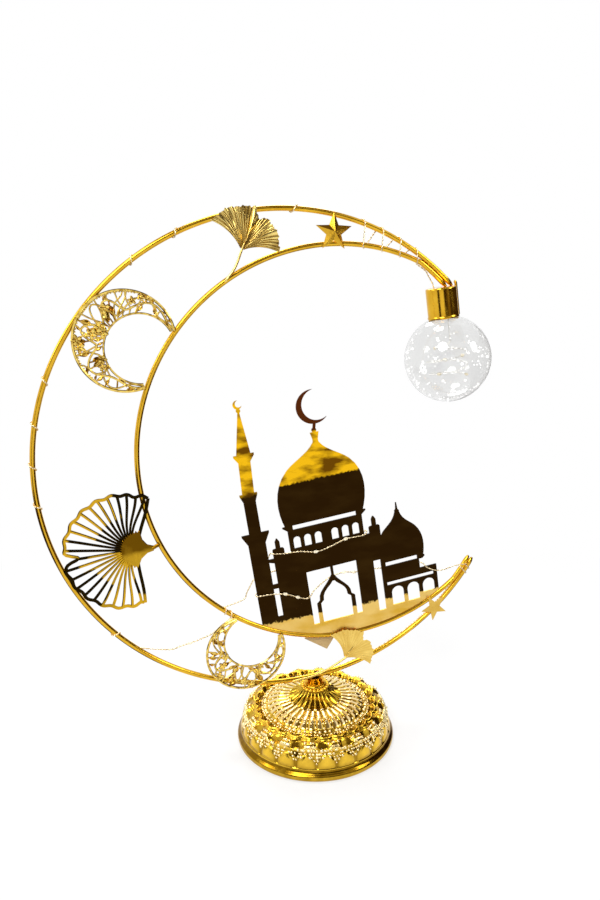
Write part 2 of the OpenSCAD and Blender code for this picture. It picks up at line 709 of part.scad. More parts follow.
// Round-headed windows: three a side on the drum, three on the wing above its rounded foot
drum_window_w = 5;
drum_window_h = 8.6;
drum_window_first = 6.2;
drum_window_pitch = 7.8;
drum_window_lift = 2.2;
drum_slot_w = 46.8;
drum_slot_h = 3.2;
wing_window_w = 9.4;
wing_window_top = 25.5;
wing_window_first = 8.5;
wing_window_pitch = 12.4;
wing_foot = 11.3;
wing_foot_bar = 2.4;
module door_arch(half_w, top) {
  half = concat(
    [[half_w, sill - cut], [half_w, 27.5], [half_w - 2.4, 29.5]],
    curve([[half_w - 2.4, 29.5], [half_w - 2, 37], [half_w - 9, 39], [0.8, top]], 6));
  polygon(mirrored(half, dome_x));
}
module mosque_openings() {
  for (side = [-1, 1]) for (k = [0:2])
    arched(dome_x + side * (drum_window_first + drum_window_pitch * k),
      facade_h + drum_window_lift, drum_window_w, drum_window_h);
  translate([dome_x - drum_slot_w / 2, drum_top - 2.7]) square([drum_slot_w, drum_slot_h]);
  difference() {
    translate([dome_x - door_w / 2, sill]) square([door_w, door_top - sill]);
    difference() {
      union() {
        door_arch(arch_leg, 47.5);
        translate([dome_x - 1, 44]) square([2, door_top - 44 + cut]);
      }
      door_arch(arch_leg - arch_bar, 42.5);
    }
  }
  translate([facade_right - 7.4, 9.7]) square([5.5, 40]);
  translate([facade_right + 1.6, small_dome_y - 1.6]) square([25, 3.1]);
  translate([facade_right + 1.1, 27.6]) square([wing_w - 4, 2.6]);
  for (k = [0:2]) {
    x = facade_right + wing_window_first + wing_window_pitch * k;
    foot = max(wing_foot, bed_height(x + wing_window_w / 2) + wing_foot_bar);
    arched(x, foot, wing_window_w, wing_window_top - foot);
  }
}
module mosque_plate() color("darkgoldenrod") {
  in_crescent() translate([inner_centre[0], -bed_r, -mosque_t / 2]) linear_extrude(mosque_t)
    intersection() {
      difference() {
        mosque_solid();
        mosque_openings();
      }
      translate([0, bed_r]) circle(bed_r, $fn = 180);
    }
}

// Strip that holds the mosque's foot to the inner ring from behind
tab_w = 15.5;
tab_l = 20;
tab_x = -31;
tab_drop = 10.8;
tab_t = 0.8;
pad_x = tab_x - 7.6;
pad_lift = bed_r - sqrt(bed_r * bed_r - pad_x * pad_x) + 0.4;
module mosque_tab() color("burlywood") {
  in_crescent() translate([inner_centre[0] + tab_x, -bed_r - tab_drop, -rod_r - tab_t])
    rotate([0, 0, 50]) cube([tab_w, tab_l, tab_t]);
}
module tab_pad() color("white") {
  in_crescent() translate([inner_centre[0] + pad_x, -bed_r + pad_lift, -rod_r])
    cube([6, 4.5, rod_r - mosque_t / 2]);
}

// Openwork crescent: leaf-shaped holes lean both ways along the band
function leaf_outline(l, w) = [
  for (i = [0:11]) let (t = i / 12 * 2, x = t < 1 ? t : 2 - t, side = t < 1 ? 1 : -1)
    [(x - 0.5) * l, side * w / 2 * sin(180 * x)]];
module filigree(r, place_angle, overhang) {
  hole_r = r * 0.706;
  shift = r * 0.326;
  border = 1.7;
  centre = polar(outer_ring_r + overhang - r, place_angle);
  to_inner = inner_centre - centre;
  back = atan2(to_inner[1], to_inner[0]) + 180;
  linear_extrude(ornament_t) difference() {
    translate(centre) rotate([0, 0, back]) difference() {
      circle(r, $fn = 120);
      translate([-shift, 0]) circle(hole_r, $fn = 96);
      for (a = [-105:15:105]) {
        inside = -shift * cos(a) + sqrt(hole_r * hole_r - pow(shift * sin(a), 2));
        band = r - inside - 2 * border;
        if (band > 2.4) {
          hole_l = min(band * 0.52, 8.5);
          rotate([0, 0, a + 3.5]) translate([r - border - band * 0.24, 0]) rotate([0, 0, 40])
            polygon(leaf_outline(hole_l, hole_l * 0.42));
          rotate([0, 0, a - 3.5]) translate([inside + border + band * 0.24, 0]) rotate([0, 0, -40])
            polygon(leaf_outline(hole_l, hole_l * 0.36));
        }
      }
    }
    translate(inner_centre) circle(bed_r, $fn = 180);
  }
}
module filigree_large() color("gold") {
  in_front() filigree(filigree_large_r, 132.8, 0);
}
module filigree_small() color("gold") {
  in_front() filigree(filigree_small_r, 247.9, 3.4);
}

// Ginkgo leaf: a fan with a notch, ribbed, on a stem that ends on a rod
leaf_steps = 28;
leaf_waist = 0.62;
function fan_r(r, t) = r * (1 - 0.16 * exp(-pow((t - 0.56) / 0.05, 2)) - 0.06 * pow(2 * t - 1, 2)
  + 0.015 * cos(t * 360 * 5));
function fan_row(base, r, from, to, share, ribs, rib_h) = [
  for (k = [0:leaf_steps]) let (
      t = k / leaf_steps, s = fan_r(r, t) * share,
      flare = leaf_waist + (1 - leaf_waist) * share,
      a = (from + to) / 2 + (to - from) * (t - 0.5) * flare,
      rib = rib_h * share * (1 - cos(t * 360 * ribs)) / 2)
    [base[0] + s * cos(a), base[1] + s * sin(a), rib]];
function stem_row(p, across, w) = [
  for (k = [0:leaf_steps]) let (s = (k / leaf_steps - 0.5) * w)
    [p[0] + across[0] * s, p[1] + across[1] * s, 0]];
function stem_rows(route, w) = [
  for (i = [0:len(route) - 1]) let (t = heading(route, i)) stem_row(route[i], [t[1], -t[0]], w)];
module ginkgo(base, r, from, to, stem, ribs, rib_h) {
  sheet(concat(
    stem_rows(stem, 1.8),
    [for (share = [0.1, 0.3, 0.55, 0.8, 1]) fan_row(base, r, from, to, share, ribs, rib_h)]
  ), ornament_t);
}
leaf_top_base = polar(inner_reach(93.9) + 11, 93.9);
leaf_top_foot = inner_centre + polar(inner_ring_r, 116);
module leaf_top() color("gold") {
  mid = (leaf_top_base + leaf_top_foot) / 2 + [1, -1];
  stem = smooth_run([leaf_top_foot, mid, leaf_top_base], 3);
  in_front() ginkgo(leaf_top_base, leaf_top_r, 128, -11, stem, 9, 1.6);
}
leaf_bottom_base = polar(outer_ring_r - 7.6, -83.7);
leaf_bottom_foot = polar(outer_ring_r, -98.5);
module leaf_bottom() color("gold") {
  mid = (leaf_bottom_base + leaf_bottom_foot) / 2 + [-0.4, -3.4];
  stem = smooth_run([leaf_bottom_foot, mid, leaf_bottom_base], 3);
  in_front() ginkgo(leaf_bottom_base, leaf_bottom_r, 110, -29, stem, 3, 1);
}

// Openwork ginkgo leaf: two scalloped lobes, the lower one larger, with slots between its veins.
// It is drawn along its axis from the middle of its fan, and its hub runs back to a stem on the inner rod
leaf_open_angle = 172;
leaf_open_skew = 0.02;
leaf_open_from = 96;
leaf_open_to = -106;
leaf_open_slots = 22;
leaf_hub_l = 10.6;
leaf_open_knot = polar(inner_reach(200.5) + 5.5, 200.5);
function lobe_r(t) = leaf_open_r * (0.79 + 0.167 * pow(max(cos(t), 0), 0.8)
  - 0.2 * exp(-pow((t - 3) / 3.4, 2)) + 0.014 * cos(t * 360 / 14.2)) * (1 + leaf_open_skew * sin(t));
module leaf_open() color("gold") {
  foot = inner_centre + polar(inner_ring_r, 195.2);
  rim = [for (t = [leaf_open_from:-4:leaf_open_to]) polar(lobe_r(t), t)];
  pitch = (leaf_open_from - leaf_open_to - 8) / leaf_open_slots;
  in_front() linear_extrude(ornament_t) {
    translate(leaf_open_knot + polar(leaf_hub_l, leaf_open_angle)) rotate([0, 0, leaf_open_angle])
      difference() {
        polygon(concat(
          [[-4.1, -11.2], [-leaf_hub_l - 1, -1.4], [-leaf_hub_l - 1, 1.4], [-0.9, 10.5]], rim));
        for (k = [0:leaf_open_slots - 1]) {
          t = leaf_open_to + 4 + pitch * (k + 0.5);
          near = 11.5 - 2.5 * cos(t);
          far = min(lobe_r(t - pitch * 0.3), lobe_r(t + pitch * 0.3)) - 2;
          polygon([polar(near, t - pitch * 0.22), polar(far, t - pitch * 0.34),
            polar(far, t + pitch * 0.34), polar(near, t + pitch * 0.22)]);
        }
      }
    polygon([foot + [0.9, 1.2], foot + [0.9, -1.2],
      leaf_open_knot + [-2, -2.2], leaf_open_knot + [-2, 2.2]]);
  }
}

// Stars
function star_spots(r, turn) = [for (k = [0:9]) polar(k % 2 == 0 ? r : r * 0.42, turn + 36 * k)];
star_upper_spot = polar(outer_ring_r - star_upper_r + 1.5, 70.2);
module star_upper() color("gold") {
  rim = 0.6;
  flat = star_spots(star_upper_r, 81);
  spots = concat(
    [for (p = flat) [p[0], p[1], 0]], [for (p = flat) [p[0], p[1], rim]],
    [[0, 0, star_upper_depth], [0, 0, 0]]);
  faces = [for (k = [0:9]) let (n = (k + 1) % 10)
    each [[k, 10 + k, 10 + n], [k, 10 + n, n], [10 + k, 20, 10 + n], [k, n, 21]]];
  in_front() translate(star_upper_spot) polyhedron(spots, faces);
}
star_lower_spot = polar(outer_ring_r - 1.1, -55.6);
module star_lower() color("gold") {
  in_front() translate(star_lower_spot) linear_extrude(ornament_t)
    polygon(star_spots(star_lower_r, 112));
}

// Bulb, hung upright in the crescent's own frame
module upright(y) {
  in_crescent() translate([cap_x, y, 0]) rotate([-90, 0, 0]) children();
}
module bulb_cap() color("gold") {
  difference() {
    upright(cap_bottom) difference() {
      cylinder(h = cap_h, r = cap_r);
      translate([0, 0, -cut]) cylinder(h = cap_h - cap_wall + cut, r = cap_r - cap_wall);
    }
    in_crescent() translate([string_hole_x, cap_top - cap_h / 4, 0]) rotate([-90, 0, 0])
      cylinder(h = cap_h / 2, d = string_hole_d, $fn = 32);
  }
}
hook_x = cap_x + cap_r + hook_d / 2;
hook_bend = 1.8;
module cap_hook() color("gold") {
  in_crescent() {
    translate([hook_x, cap_bottom + 1, 0]) rotate([-90, 0, 0])
      cylinder(h = cap_h, d = hook_d, $fn = 32);
    translate([hook_x - hook_bend, cap_top + 1, 0]) rotate_extrude(angle = 60, $fn = 96)
      translate([hook_bend, 0]) circle(d = hook_d, $fn = 32);
  }
}
module bulb_globe() color("gainsboro", 0.5) {
  neck_in_r = neck_out_r - globe_wall;
  neck_l = plug_top - globe_y;
  difference() {
    upright(globe_y) union() {
      sphere(globe_r, $fn = 96);
      cylinder(h = neck_l, r = neck_out_r);
    }
    upright(globe_y) sphere(globe_r - globe_wall, $fn = 96);
    upright(globe_y) cylinder(h = neck_l + cut, r = neck_in_r);
  }
}
module bulb_plug() color("white") {
  upright(plug_top - plug_h) cylinder(h = plug_h, r = neck_out_r - globe_wall - run_gap);
}
bulb_coil_top = plug_top - plug_h;
bulb_coil_r = globe_r * 0.5;
bulb_coil_h = globe_r * 0.9;
bulb_coil_steps = bulb_loops * 24;
function bulb_coil_spot(t) = let (
    r = bulb_coil_r * (0.22 + 0.78 * pow(sin(180 * min(t * 1.1, 0.62)), 2)), a = t * 360 * bulb_loops)
  [cap_x + r * cos(a), globe_y + globe_r * 0.45 - t * bulb_coil_h, r * sin(a)];
function bulb_drop_spot(y) = [bulb_coil_spot(0)[0], y, bulb_coil_spot(0)[2]];
bulb_route = concat(
  [bulb_drop_spot(bulb_coil_top), bulb_drop_spot(bulb_coil_top - string_d)],
  [for (i = [0:bulb_coil_steps]) bulb_coil_spot(i / bulb_coil_steps)]);
module bulb_string() color("silver") {
  in_crescent() tube(bulb_route, string_d, 6);
}
module bulb_leds() color("ivory") {
  in_crescent() for (k = [1:5]) translate(bulb_coil_spot(k / 5)) sphere(d = led_d, $fn = 24);
}

// Light string: behind the outer ring, around both rods at the tips, across the mosque, up the ring
function rod_spot(centre, r, a, phi, off) = let (p = centre + polar(r + off * cos(phi), a))
  [p[0], p[1], off * sin(phi)];
function back_run(from, to, steps) = [
  for (i = [0:steps]) rod_spot([0, 0], outer_ring_r, from + (to - from) * i / steps, 270, back_hug)];
// One full turn around the outer rod, starting and ending behind it
function rod_turn(a, span) = [
  for (i = [0:24]) rod_spot([0, 0], outer_ring_r, a + span * (i / 24 - 0.5), 270 - 15 * i, hug)];
// Around two rods: s counts turns from behind the outer rod over its outside to the front
function pair_spot(a, s, far, near) = let (q = (s - floor(s)) * 4, k = floor(q), f = q - k,
    phi = k == 0 ? -90 + 180 * f : k == 1 ? 90 : k == 2 ? 90 + 180 * f : 270,
    middle = k == 0 ? far : k == 1 ? far + (near - far) * f : k == 2 ? near : near + (far - near) * f,
    p = polar(middle + hug * cos(phi), a)) [p[0], p[1], hug * sin(phi)];
function near_rod(a) = a < join_angle ? side_ring_r : inner_reach(a);
lower_turns = [for (i = [0:36]) pair_spot(-43.6 + 2.2 * i / 36, i / 24, outer_ring_r, side_ring_r)];
horn_end = horn_turns - 0.375;
horn_from = 64.5;
horn_to = 47.2;
horn_run = [for (i = [0:round(24 * horn_end)])
  let (s = i / 24, a = horn_from + (horn_to - horn_from) * s / horn_end)
    pair_spot(a, s, outer_ring_r, near_rod(a))];
// Points on the mosque, as it is drawn: across from the inner ring's centre, up from its lowest point
function on_mosque(x, y, z) = [inner_centre[0] + x, y - bed_r, z];
edge_l = minaret_x - minaret_w / 2;
mosque_run = [
  on_mosque(74, 30.8, hug), on_mosque(66, 29.6, 1.8), on_mosque(60.5, 30.2, face_hug + 0.3),
  on_mosque(55.5, 32.6, face_hug + 0.1), on_mosque(52.2, 35.4, face_hug), on_mosque(51.2, 37.4, 0),
  on_mosque(49, 38.8, -face_hug - 0.1), on_mosque(45, 39.4, -face_hug), on_mosque(32.5, 39.7, -face_hug),
  on_mosque(13, 43, -face_hug), on_mosque(-2.4, 43.9, -led_hug), on_mosque(-9.7, 45.8, -led_hug),
  on_mosque(-21, 45, -face_hug - 0.2), on_mosque(-31, 40, -face_hug), on_mosque(-34.8, 37.2, -face_hug),
  on_mosque(-36.2, 36.2, 0), on_mosque(-37.6, 35.4, face_hug + 0.1), on_mosque(-41, 34.4, face_hug + 0.1),
  on_mosque(-47, 37.4, led_hug), on_mosque(-55.5, 42.2, led_hug), on_mosque(-66, 44.3, face_hug),
  on_mosque(edge_l + 1.5, 45, face_hug + 0.1), on_mosque(edge_l - 0.6, 45.4, face_hug - 0.3),
  on_mosque(edge_l - 1, 45.9, 0), on_mosque(edge_l - 0.6, 46.5, 0.3 - face_hug),
  on_mosque(edge_l + 1.5, 47.5, -face_hug - 0.1), on_mosque(-68, 55, -face_hug),
  on_mosque(-64, 68, -face_hug), on_mosque(-61.6, 72.6, -face_hug), on_mosque(-60.6, 74.2, 0),
  on_mosque(-59, 73.6, face_hug + 0.1), on_mosque(-50.7, 72, face_hug), on_mosque(-40, 70.8, face_hug),
  on_mosque(-29, 68.1, led_hug), on_mosque(-17.8, 69, face_hug), on_mosque(-6, 72.2, led_hug),
  on_mosque(6, 71.4, face_hug), on_mosque(9.8, 72.4, face_hug + 0.1), on_mosque(10.6, 74, 0),
  on_mosque(9, 73, -face_hug - 0.1), on_mosque(4, 66, -face_hug), on_mosque(-8, 60, -face_hug),
  on_mosque(-28, 59.6, -face_hug), on_mosque(-48, 60, -face_hug), on_mosque(-66, 60, -face_hug),
  on_mosque(edge_l + 1.5, 58.6, -face_hug - 0.1), on_mosque(edge_l - 3, 54, -face_hug - 0.2),
  on_mosque(-85, 44, -hug)
];
inner_turn_a = 223.4;
inner_turn = [
  for (i = [0:39]) rod_spot(inner_centre, inner_ring_r, inner_turn_a + i / 12, 225 - 15 * i, hug)];
left_run = [
  [-63.5, -105.6, 0], [-71.4, -109.6, 0], [-80, -111.6, 0.3], [-89.7, -112.9, 0.2], [-104, -114.2, -0.6]];
turn_angles = [214, 178, 169, 160, 150, 118, 107, 80];
turn_span = 2.4;
ring_join = 221;
turn_count = len(turn_angles);
function ring_leg(k) = let (
    from = k == 0 ? ring_join : turn_angles[k - 1] - turn_span,
    to = k == turn_count ? horn_from + 1 : turn_angles[k] + turn_span)
  back_run(from, to, max(2, round(abs(from - to) / 5)));
ring_run = [
  for (k = [0:turn_count])
    each concat(ring_leg(k), k < turn_count ? rod_turn(turn_angles[k], -turn_span) : [])];
mouth_run = [
  flat_spot([0, 0, lead_end_z + string_d]), flat_spot([0, 1.2, lead_end_z + 4]),
  flat_spot([0.5, 2.3, seat_z - 2.5]), flat_spot([2.2, back_hug - 0.3, seat_z + 0.6])];
cap_run = [
  [cap_x - 10, cap_top + 12.5, 0], [string_hole_x - 1.6, cap_top + 6, 0], [string_hole_x, cap_top + 2, 0],
  [string_hole_x, cap_top - 2, 0], [string_hole_x, cap_top - 7, 0]];
string_route = concat(
  [flat_spot([0, 0, lead_end_z])], smooth_run(mouth_run, 2), back_run(seat_angle + 3, -45.4, 11),
  lower_turns, smooth_run(mosque_run, 2), inner_turn, smooth_run(left_run, 2), ring_run, horn_run,
  smooth_run(cap_run, 2), [[string_hole_x, cap_top - 7 - string_d, 0]]);
// Least gap of a wire to itself, between points that are more than a few steps apart
function least_gap(p, apart) = min([
  for (i = [0:len(p) - 1]) for (j = [i + apart:1:len(p) - 1]) norm(p[i] - p[j])]) - string_d;
echo(string_points = len(string_route), least_gap_of_string = least_gap(string_route, 6));
echo(least_gap_of_bulb_string = least_gap(bulb_route, 8));
module light_string() color("rosybrown") {
  in_crescent() tube(string_route, string_d, 6);
}
led_spots = concat(
  [for (a = [-80, -70, -60, -50]) rod_spot([0, 0], outer_ring_r, a, 270, back_hug)],
  [for (k = [10, 11, 18, 19, 33, 35]) mosque_run[k]],
  [left_run[1], left_run[3]],
  [for (a = [200, 190, 140, 128, 98, 90, 72]) rod_spot([0, 0], outer_ring_r, a, 270, back_hug)]);
module string_leds() color("ivory") {
  in_crescent() for (p = led_spots) translate(p) sphere(r = led_r, $fn = 24);
}

base_shell();
shell_lugs();
battery_housing();
housing_screws();
rubber_feet();
batteries();
battery_springs();
contact_plates();
switch_body();
lead_wires();
neck_collar();
post_washer();
post();
post_nut();
outer_ring();
inner_ring();
mosque_plate();
mosque_tab();
tab_pad();
filigree_large();
filigree_small();
leaf_top();
leaf_bottom();
leaf_open();
star_upper();
star_lower();
bulb_cap();
cap_hook();
bulb_globe();
bulb_plug();
bulb_string();
bulb_leds();
light_string();
string_leds();
battery_door();
switch_slider();
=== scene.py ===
import math
import random

import bpy
import numpy as np
from mathutils import Matrix, Vector


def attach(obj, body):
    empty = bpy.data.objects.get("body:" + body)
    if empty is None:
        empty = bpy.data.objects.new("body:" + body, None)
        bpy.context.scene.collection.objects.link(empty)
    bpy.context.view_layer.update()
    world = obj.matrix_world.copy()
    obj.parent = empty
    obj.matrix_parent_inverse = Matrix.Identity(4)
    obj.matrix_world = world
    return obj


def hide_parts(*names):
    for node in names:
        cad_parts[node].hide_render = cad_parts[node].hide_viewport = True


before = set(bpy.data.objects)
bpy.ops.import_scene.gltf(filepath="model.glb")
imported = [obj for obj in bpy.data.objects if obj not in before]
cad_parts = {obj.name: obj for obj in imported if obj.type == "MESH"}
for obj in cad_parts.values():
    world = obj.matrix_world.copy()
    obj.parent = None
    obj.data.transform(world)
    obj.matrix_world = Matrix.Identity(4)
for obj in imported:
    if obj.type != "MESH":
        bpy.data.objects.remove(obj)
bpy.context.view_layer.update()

# Crescent table lantern. Sizes are in millimetres; a finished piece is turned into metres.
scene = bpy.context.scene
scene.view_settings.view_transform = "Standard"
MM = 0.001
TURN = 2 * math.pi


def cosd(a):
    return math.cos(math.radians(a))


def sind(a):
    return math.sin(math.radians(a))


def polar(r, a):
    return np.array([r * cosd(a), r * sind(a)])


# Crescent: x right, y up and z to the front, from the middle of the outer ring
OUTER_R = 164.5
CRESCENT_W = 63.9
OPENING = 40.0
ROD_D = 3.5
ROD_STEP = 0.75
LEAN = 8.0
SEAT_OFFSET = 16.7
SEAT_Z = 46.05
ROD_R = ROD_D / 2
RING_LEFT = OUTER_R - CRESCENT_W
RING_OFFSET = (OUTER_R**2 - RING_LEFT**2) / (2 * (RING_LEFT + OUTER_R * cosd(OPENING)))
INNER_R = RING_LEFT + RING_OFFSET
INNER_MIDDLE = np.array([RING_OFFSET, 0.0])
SIDE_R = OUTER_R - ROD_D
JOIN_X = (SIDE_R**2 - INNER_R**2 + RING_OFFSET**2) / (2 * RING_OFFSET)
JOIN_Y = math.sqrt(SIDE_R**2 - JOIN_X**2)
JOIN_ANGLE = math.degrees(math.atan2(JOIN_Y, JOIN_X))
INNER_JOIN_ANGLE = math.degrees(math.atan2(JOIN_Y, JOIN_X - RING_OFFSET))
END_ANGLE = OPENING - 1
BED_R = INNER_R - ROD_R
RING_MIDDLE = np.array([-SEAT_OFFSET, 0.0, SEAT_Z + math.sqrt(OUTER_R**2 - SEAT_OFFSET**2)])
SEAT_ANGLE = math.degrees(math.atan2(SEAT_Z - RING_MIDDLE[2], SEAT_OFFSET)) - LEAN
ORNAMENT_T = 0.9

# Bulb
CAP_R = 10.5
CAP_H = 21.0
CAP_WALL = 0.8
CAP_X = OUTER_R * cosd(OPENING) - 2.7
CAP_TOP = OUTER_R * sind(OPENING) - 7.2
CAP_BOTTOM = CAP_TOP - CAP_H
GLOBE_R = 30.0
GLOBE_WALL = 1.2
GLOBE_Y = CAP_BOTTOM - math.sqrt(GLOBE_R**2 - (CAP_R - CAP_WALL) ** 2)
NECK_OUT_R = CAP_R - CAP_WALL - 0.3
PLUG_TOP = CAP_BOTTOM + CAP_H * 0.45
PLUG_H = 4.0
STRING_HOLE_X = CAP_X - CAP_R / 2
BULB_LOOPS = 3
BULB_DROPS = 5
PAINTED_GLINTS = 120

# Base shell
BASE_H = 41.0
RIM_LIFT = 1.0
RIM_TOP = 5.0
PETAL_R = 55.1
SHOULDER_R = 47.0
SHOULDER_H = 22.5
PETALS = 24
FLUTE_R = 26.5
FLUTE_H = 28.5
FLUTES = 24
NECK_R = 8.4
NECK_TOP = BASE_H - 1
NECK_HOLE_R = 5.4
SHELL_INNER_R = 53.29
LUG_TOP = 9.5

# Light string
STRING_D = 0.7
LED_D = 2.2
MOSQUE_T = 1.0
WIRE_GAP = 0.15
HUG = ROD_R + STRING_D / 2 + WIRE_GAP
BACK_HUG = ROD_R + LED_D / 2 + WIRE_GAP
LEAD_END_Z = 35.95

# Camera: the photograph's place, found from both rings and the base's rim
CAMERA_PLACE = (-125.42, -451.15, 321.89)
AZIMUTH = -14.464
ELEVATION = 12.649
ROLL = -0.741
LENS = 28.0
SENSOR = 36.0


def added(name, data):
    made = bpy.data.objects.new(name, data)
    scene.collection.objects.link(made)
    return made


def set_camera():
    back = Vector((sind(AZIMUTH) * cosd(ELEVATION), -cosd(AZIMUTH) * cosd(ELEVATION), sind(ELEVATION)))
    right = Vector((cosd(AZIMUTH), sind(AZIMUTH), 0))
    up = back.cross(right)
    across = right * cosd(ROLL) + up * sind(ROLL)
    upward = -right * sind(ROLL) + up * cosd(ROLL)
    data = bpy.data.cameras.new("photo_camera")
    data.lens = LENS
    data.sensor_width = SENSOR
    camera = added("photo_camera", data)
    turn = Matrix((across, upward, back)).transposed().to_4x4()
    camera.matrix_world = Matrix.Translation(Vector(CAMERA_PLACE) * MM) @ turn
    scene.camera = camera


# Shapes are (points, faces, relief): relief is a painted tone, 0 for painted shade in a hollow, 1 on top and
# more for a painted highlight on a crest
def grid_faces(rows, cols, wrap_rows=False, wrap_cols=False):
    down = np.arange(rows if wrap_rows else rows - 1)
    over = np.arange(cols if wrap_cols else cols - 1)
    i, j = np.meshgrid(down, over, indexing="ij")
    here = i * cols
    below = (i + 1) % rows * cols
    right = (j + 1) % cols
    return np.stack([here + j, here + right, below + right, below + j], -1).reshape(-1, 4).tolist()


def outward(shape):
    """The same closed shape with its faces turned outwards."""
    points, faces, relief = shape
    volume = 0.0
    for face in faces:
        first = points[face[0]]
        for k in range(1, len(face) - 1):
            volume += np.dot(first, np.cross(points[face[k]], points[face[k + 1]]))
    return shape if volume > 0 else (points, [face[::-1] for face in faces], relief)


def joined(shapes):
    points, faces, relief, start = [], [], [], 0
    for p, f, r in shapes:
        points.append(p)
        relief.append(np.broadcast_to(r, len(p)))
        faces.extend([[k + start for k in face] for face in f])
        start += len(p)
    return np.concatenate(points), faces, np.concatenate(relief)


def toned(shapes, tone_of):
    """Shapes as one, with the relief tone of every point worked out from its place: painted shade, painted
    highlights and painted reflections.
    """
    points, faces, _ = joined(shapes)
    return points, faces, tone_of(points)


def slab(front, depth, relief=1.0):
    """A closed plate from a grid of front points, as deep as said behind them."""
    rows, cols = front.shape[:2]
    count = rows * cols
    at = np.arange(count).reshape(rows, cols)
    faces = grid_faces(rows, cols)
    faces += [[k + count for k in face[::-1]] for face in faces]
    edge = np.concatenate([at[0], at[1:, -1], at[-1, -2::-1], at[-2:0:-1, 0]]).tolist()
    for a, b in zip(edge, edge[1:] + edge[:1]):
        faces.append([b, a, a + count, b + count])
    front = front.reshape(-1, 3)
    points = np.concatenate([front, front - np.array([0, 0, 1.0]) * depth])
    heights = np.concatenate([np.broadcast_to(relief, (rows, cols)).ravel()] * 2)
    return outward((points, faces, heights))


def lofted(outline, middle, rows):
    """A closed solid of outlines that are scaled about a middle: rows of share and height."""
    outline, middle = np.asarray(outline, float), np.asarray(middle, float)
    cols = len(outline)
    inside = np.array(rows[1:-1], float)
    flat = middle + inside[:, None, :1] * (outline - middle)
    heights = np.broadcast_to(inside[:, None, 1:], (len(inside), cols, 1))
    poles = [[*middle, rows[0][1]], [*middle, rows[-1][1]]]
    points = np.concatenate([np.concatenate([flat, heights], -1).reshape(-1, 3), poles])
    faces = grid_faces(len(inside), cols, wrap_cols=True)
    first, last, low = len(points) - 2, len(points) - 1, (len(inside) - 1) * cols
    for j in range(cols):
        faces.append([first, (j + 1) % cols, j])
        faces.append([last, low + j, low + (j + 1) % cols])
    return outward((points, faces, 1.0))


def turned(profile, cols):
    """A closed solid turned around z from a profile whose two ends lie on the axis."""
    angles = np.linspace(0, TURN, cols, endpoint=False)
    return lofted(np.stack([np.cos(angles), np.sin(angles)], -1), (0, 0), profile)


def round_bead(segments=8, rings=4):
    belt = [(sind(180 * k / rings), -cosd(180 * k / rings)) for k in range(1, rings)]
    return turned([(0, -1), *belt, (0, 1)], segments)


def arc(r, start, end, middle=(0.0, 0.0)):
    count = max(2, int(abs(end - start) / ROD_STEP) + 1)
    return [np.array([*(np.array(middle) + polar(r, a)), 0.0]) for a in np.linspace(start, end, count)]


def smooth_run(points, steps):
    """A smooth run through given points, with so many pieces between each two."""
    points = [np.asarray(p, float) for p in points]
    run = []
    for i in range(len(points) - 1):
        a, b = points[max(i - 1, 0)], points[i]
        c, d = points[i + 1], points[min(i + 2, len(points) - 1)]
        for k in range(steps):
            t = k / steps
            run.append(0.5 * (2 * b + (c - a) * t + (2 * a - 5 * b + 4 * c - d) * t * t
                              + (3 * b - a - 3 * c + d) * t**3))
    return run + [points[-1]]


def travelled(points):
    """How far along a run each of its points lies."""
    return np.concatenate([[0], np.cumsum(np.linalg.norm(np.diff(points, axis=0), axis=1))])


def even_run(points, step):
    """The same run with its points an even step apart."""
    points = np.asarray(points, float)
    along = travelled(points)
    spots = np.linspace(0, along[-1], int(along[-1] / step) + 1)
    return np.stack([np.interp(spots, along, points[:, k]) for k in range(3)], -1)


def directions(run):
    along = np.gradient(run, axis=0)
    return along / np.linalg.norm(along, axis=1)[:, None]


# Node trees that draw a strand along a path and set a shape on many spots
END_GIRTHS = (0.45, 0.86)


def plug(tree, sockets, values):
    """Links or sets sockets by name; a node stands for its first output."""
    for name, value in values.items():
        if isinstance(value, bpy.types.Node):
            value = value.outputs[0]
        if isinstance(value, bpy.types.NodeSocket):
            tree.links.new(value, sockets[name])
        else:
            sockets[name].default_value = value


def node(tree, kind, links=None, **settings):
    made = tree.nodes.new(kind)
    for name, value in settings.items():
        setattr(made, name, value)
    plug(tree, made.inputs, links or {})
    return made


def calc(tree, operation, *values, clamp=False):
    return node(tree, "ShaderNodeMath", dict(enumerate(values)), operation=operation, use_clamp=clamp)


def named(tree, name, kind):
    return node(tree, "GeometryNodeInputNamedAttribute", {"Name": name}, data_type=kind)


def new_tree(name, **inputs):
    tree = bpy.data.node_groups.new(name, "GeometryNodeTree")
    for label, kind in {"Geometry": "Geometry", **inputs, "Finish": "Material"}.items():
        tree.interface.new_socket(label, in_out="INPUT", socket_type="NodeSocket" + kind)
    tree.interface.new_socket("Geometry", in_out="OUTPUT", socket_type="NodeSocketGeometry")
    return tree, tree.nodes.new("NodeGroupInput").outputs


def end_tree(tree, given, geometry):
    real = node(tree, "GeometryNodeRealizeInstances", {"Geometry": geometry})
    smooth = node(tree, "GeometryNodeSetShadeSmooth", {"Geometry": real})
    done = node(tree, "GeometryNodeSetMaterial", {"Geometry": smooth, "Material": given["Finish"]})
    node(tree, "NodeGroupOutput", {"Geometry": done})
    return tree


def end_strand(tree, given, path, section):
    girth = named(tree, "girth", "FLOAT")
    return end_tree(tree, given, node(tree, "GeometryNodeCurveToMesh", {
        "Curve": path, "Profile Curve": section, "Scale": girth, "Fill Caps": True}))


def wire_tree():
    tree, given = new_tree("drawn_wire", Diameter="Float", Sides="Int")
    path = node(tree, "GeometryNodeMeshToCurve", {"Mesh": given["Geometry"]})
    section = node(tree, "GeometryNodeCurvePrimitiveCircle", {
        "Resolution": given["Sides"], "Radius": calc(tree, "MULTIPLY", given["Diameter"], 0.5)})
    return end_strand(tree, given, path, section)


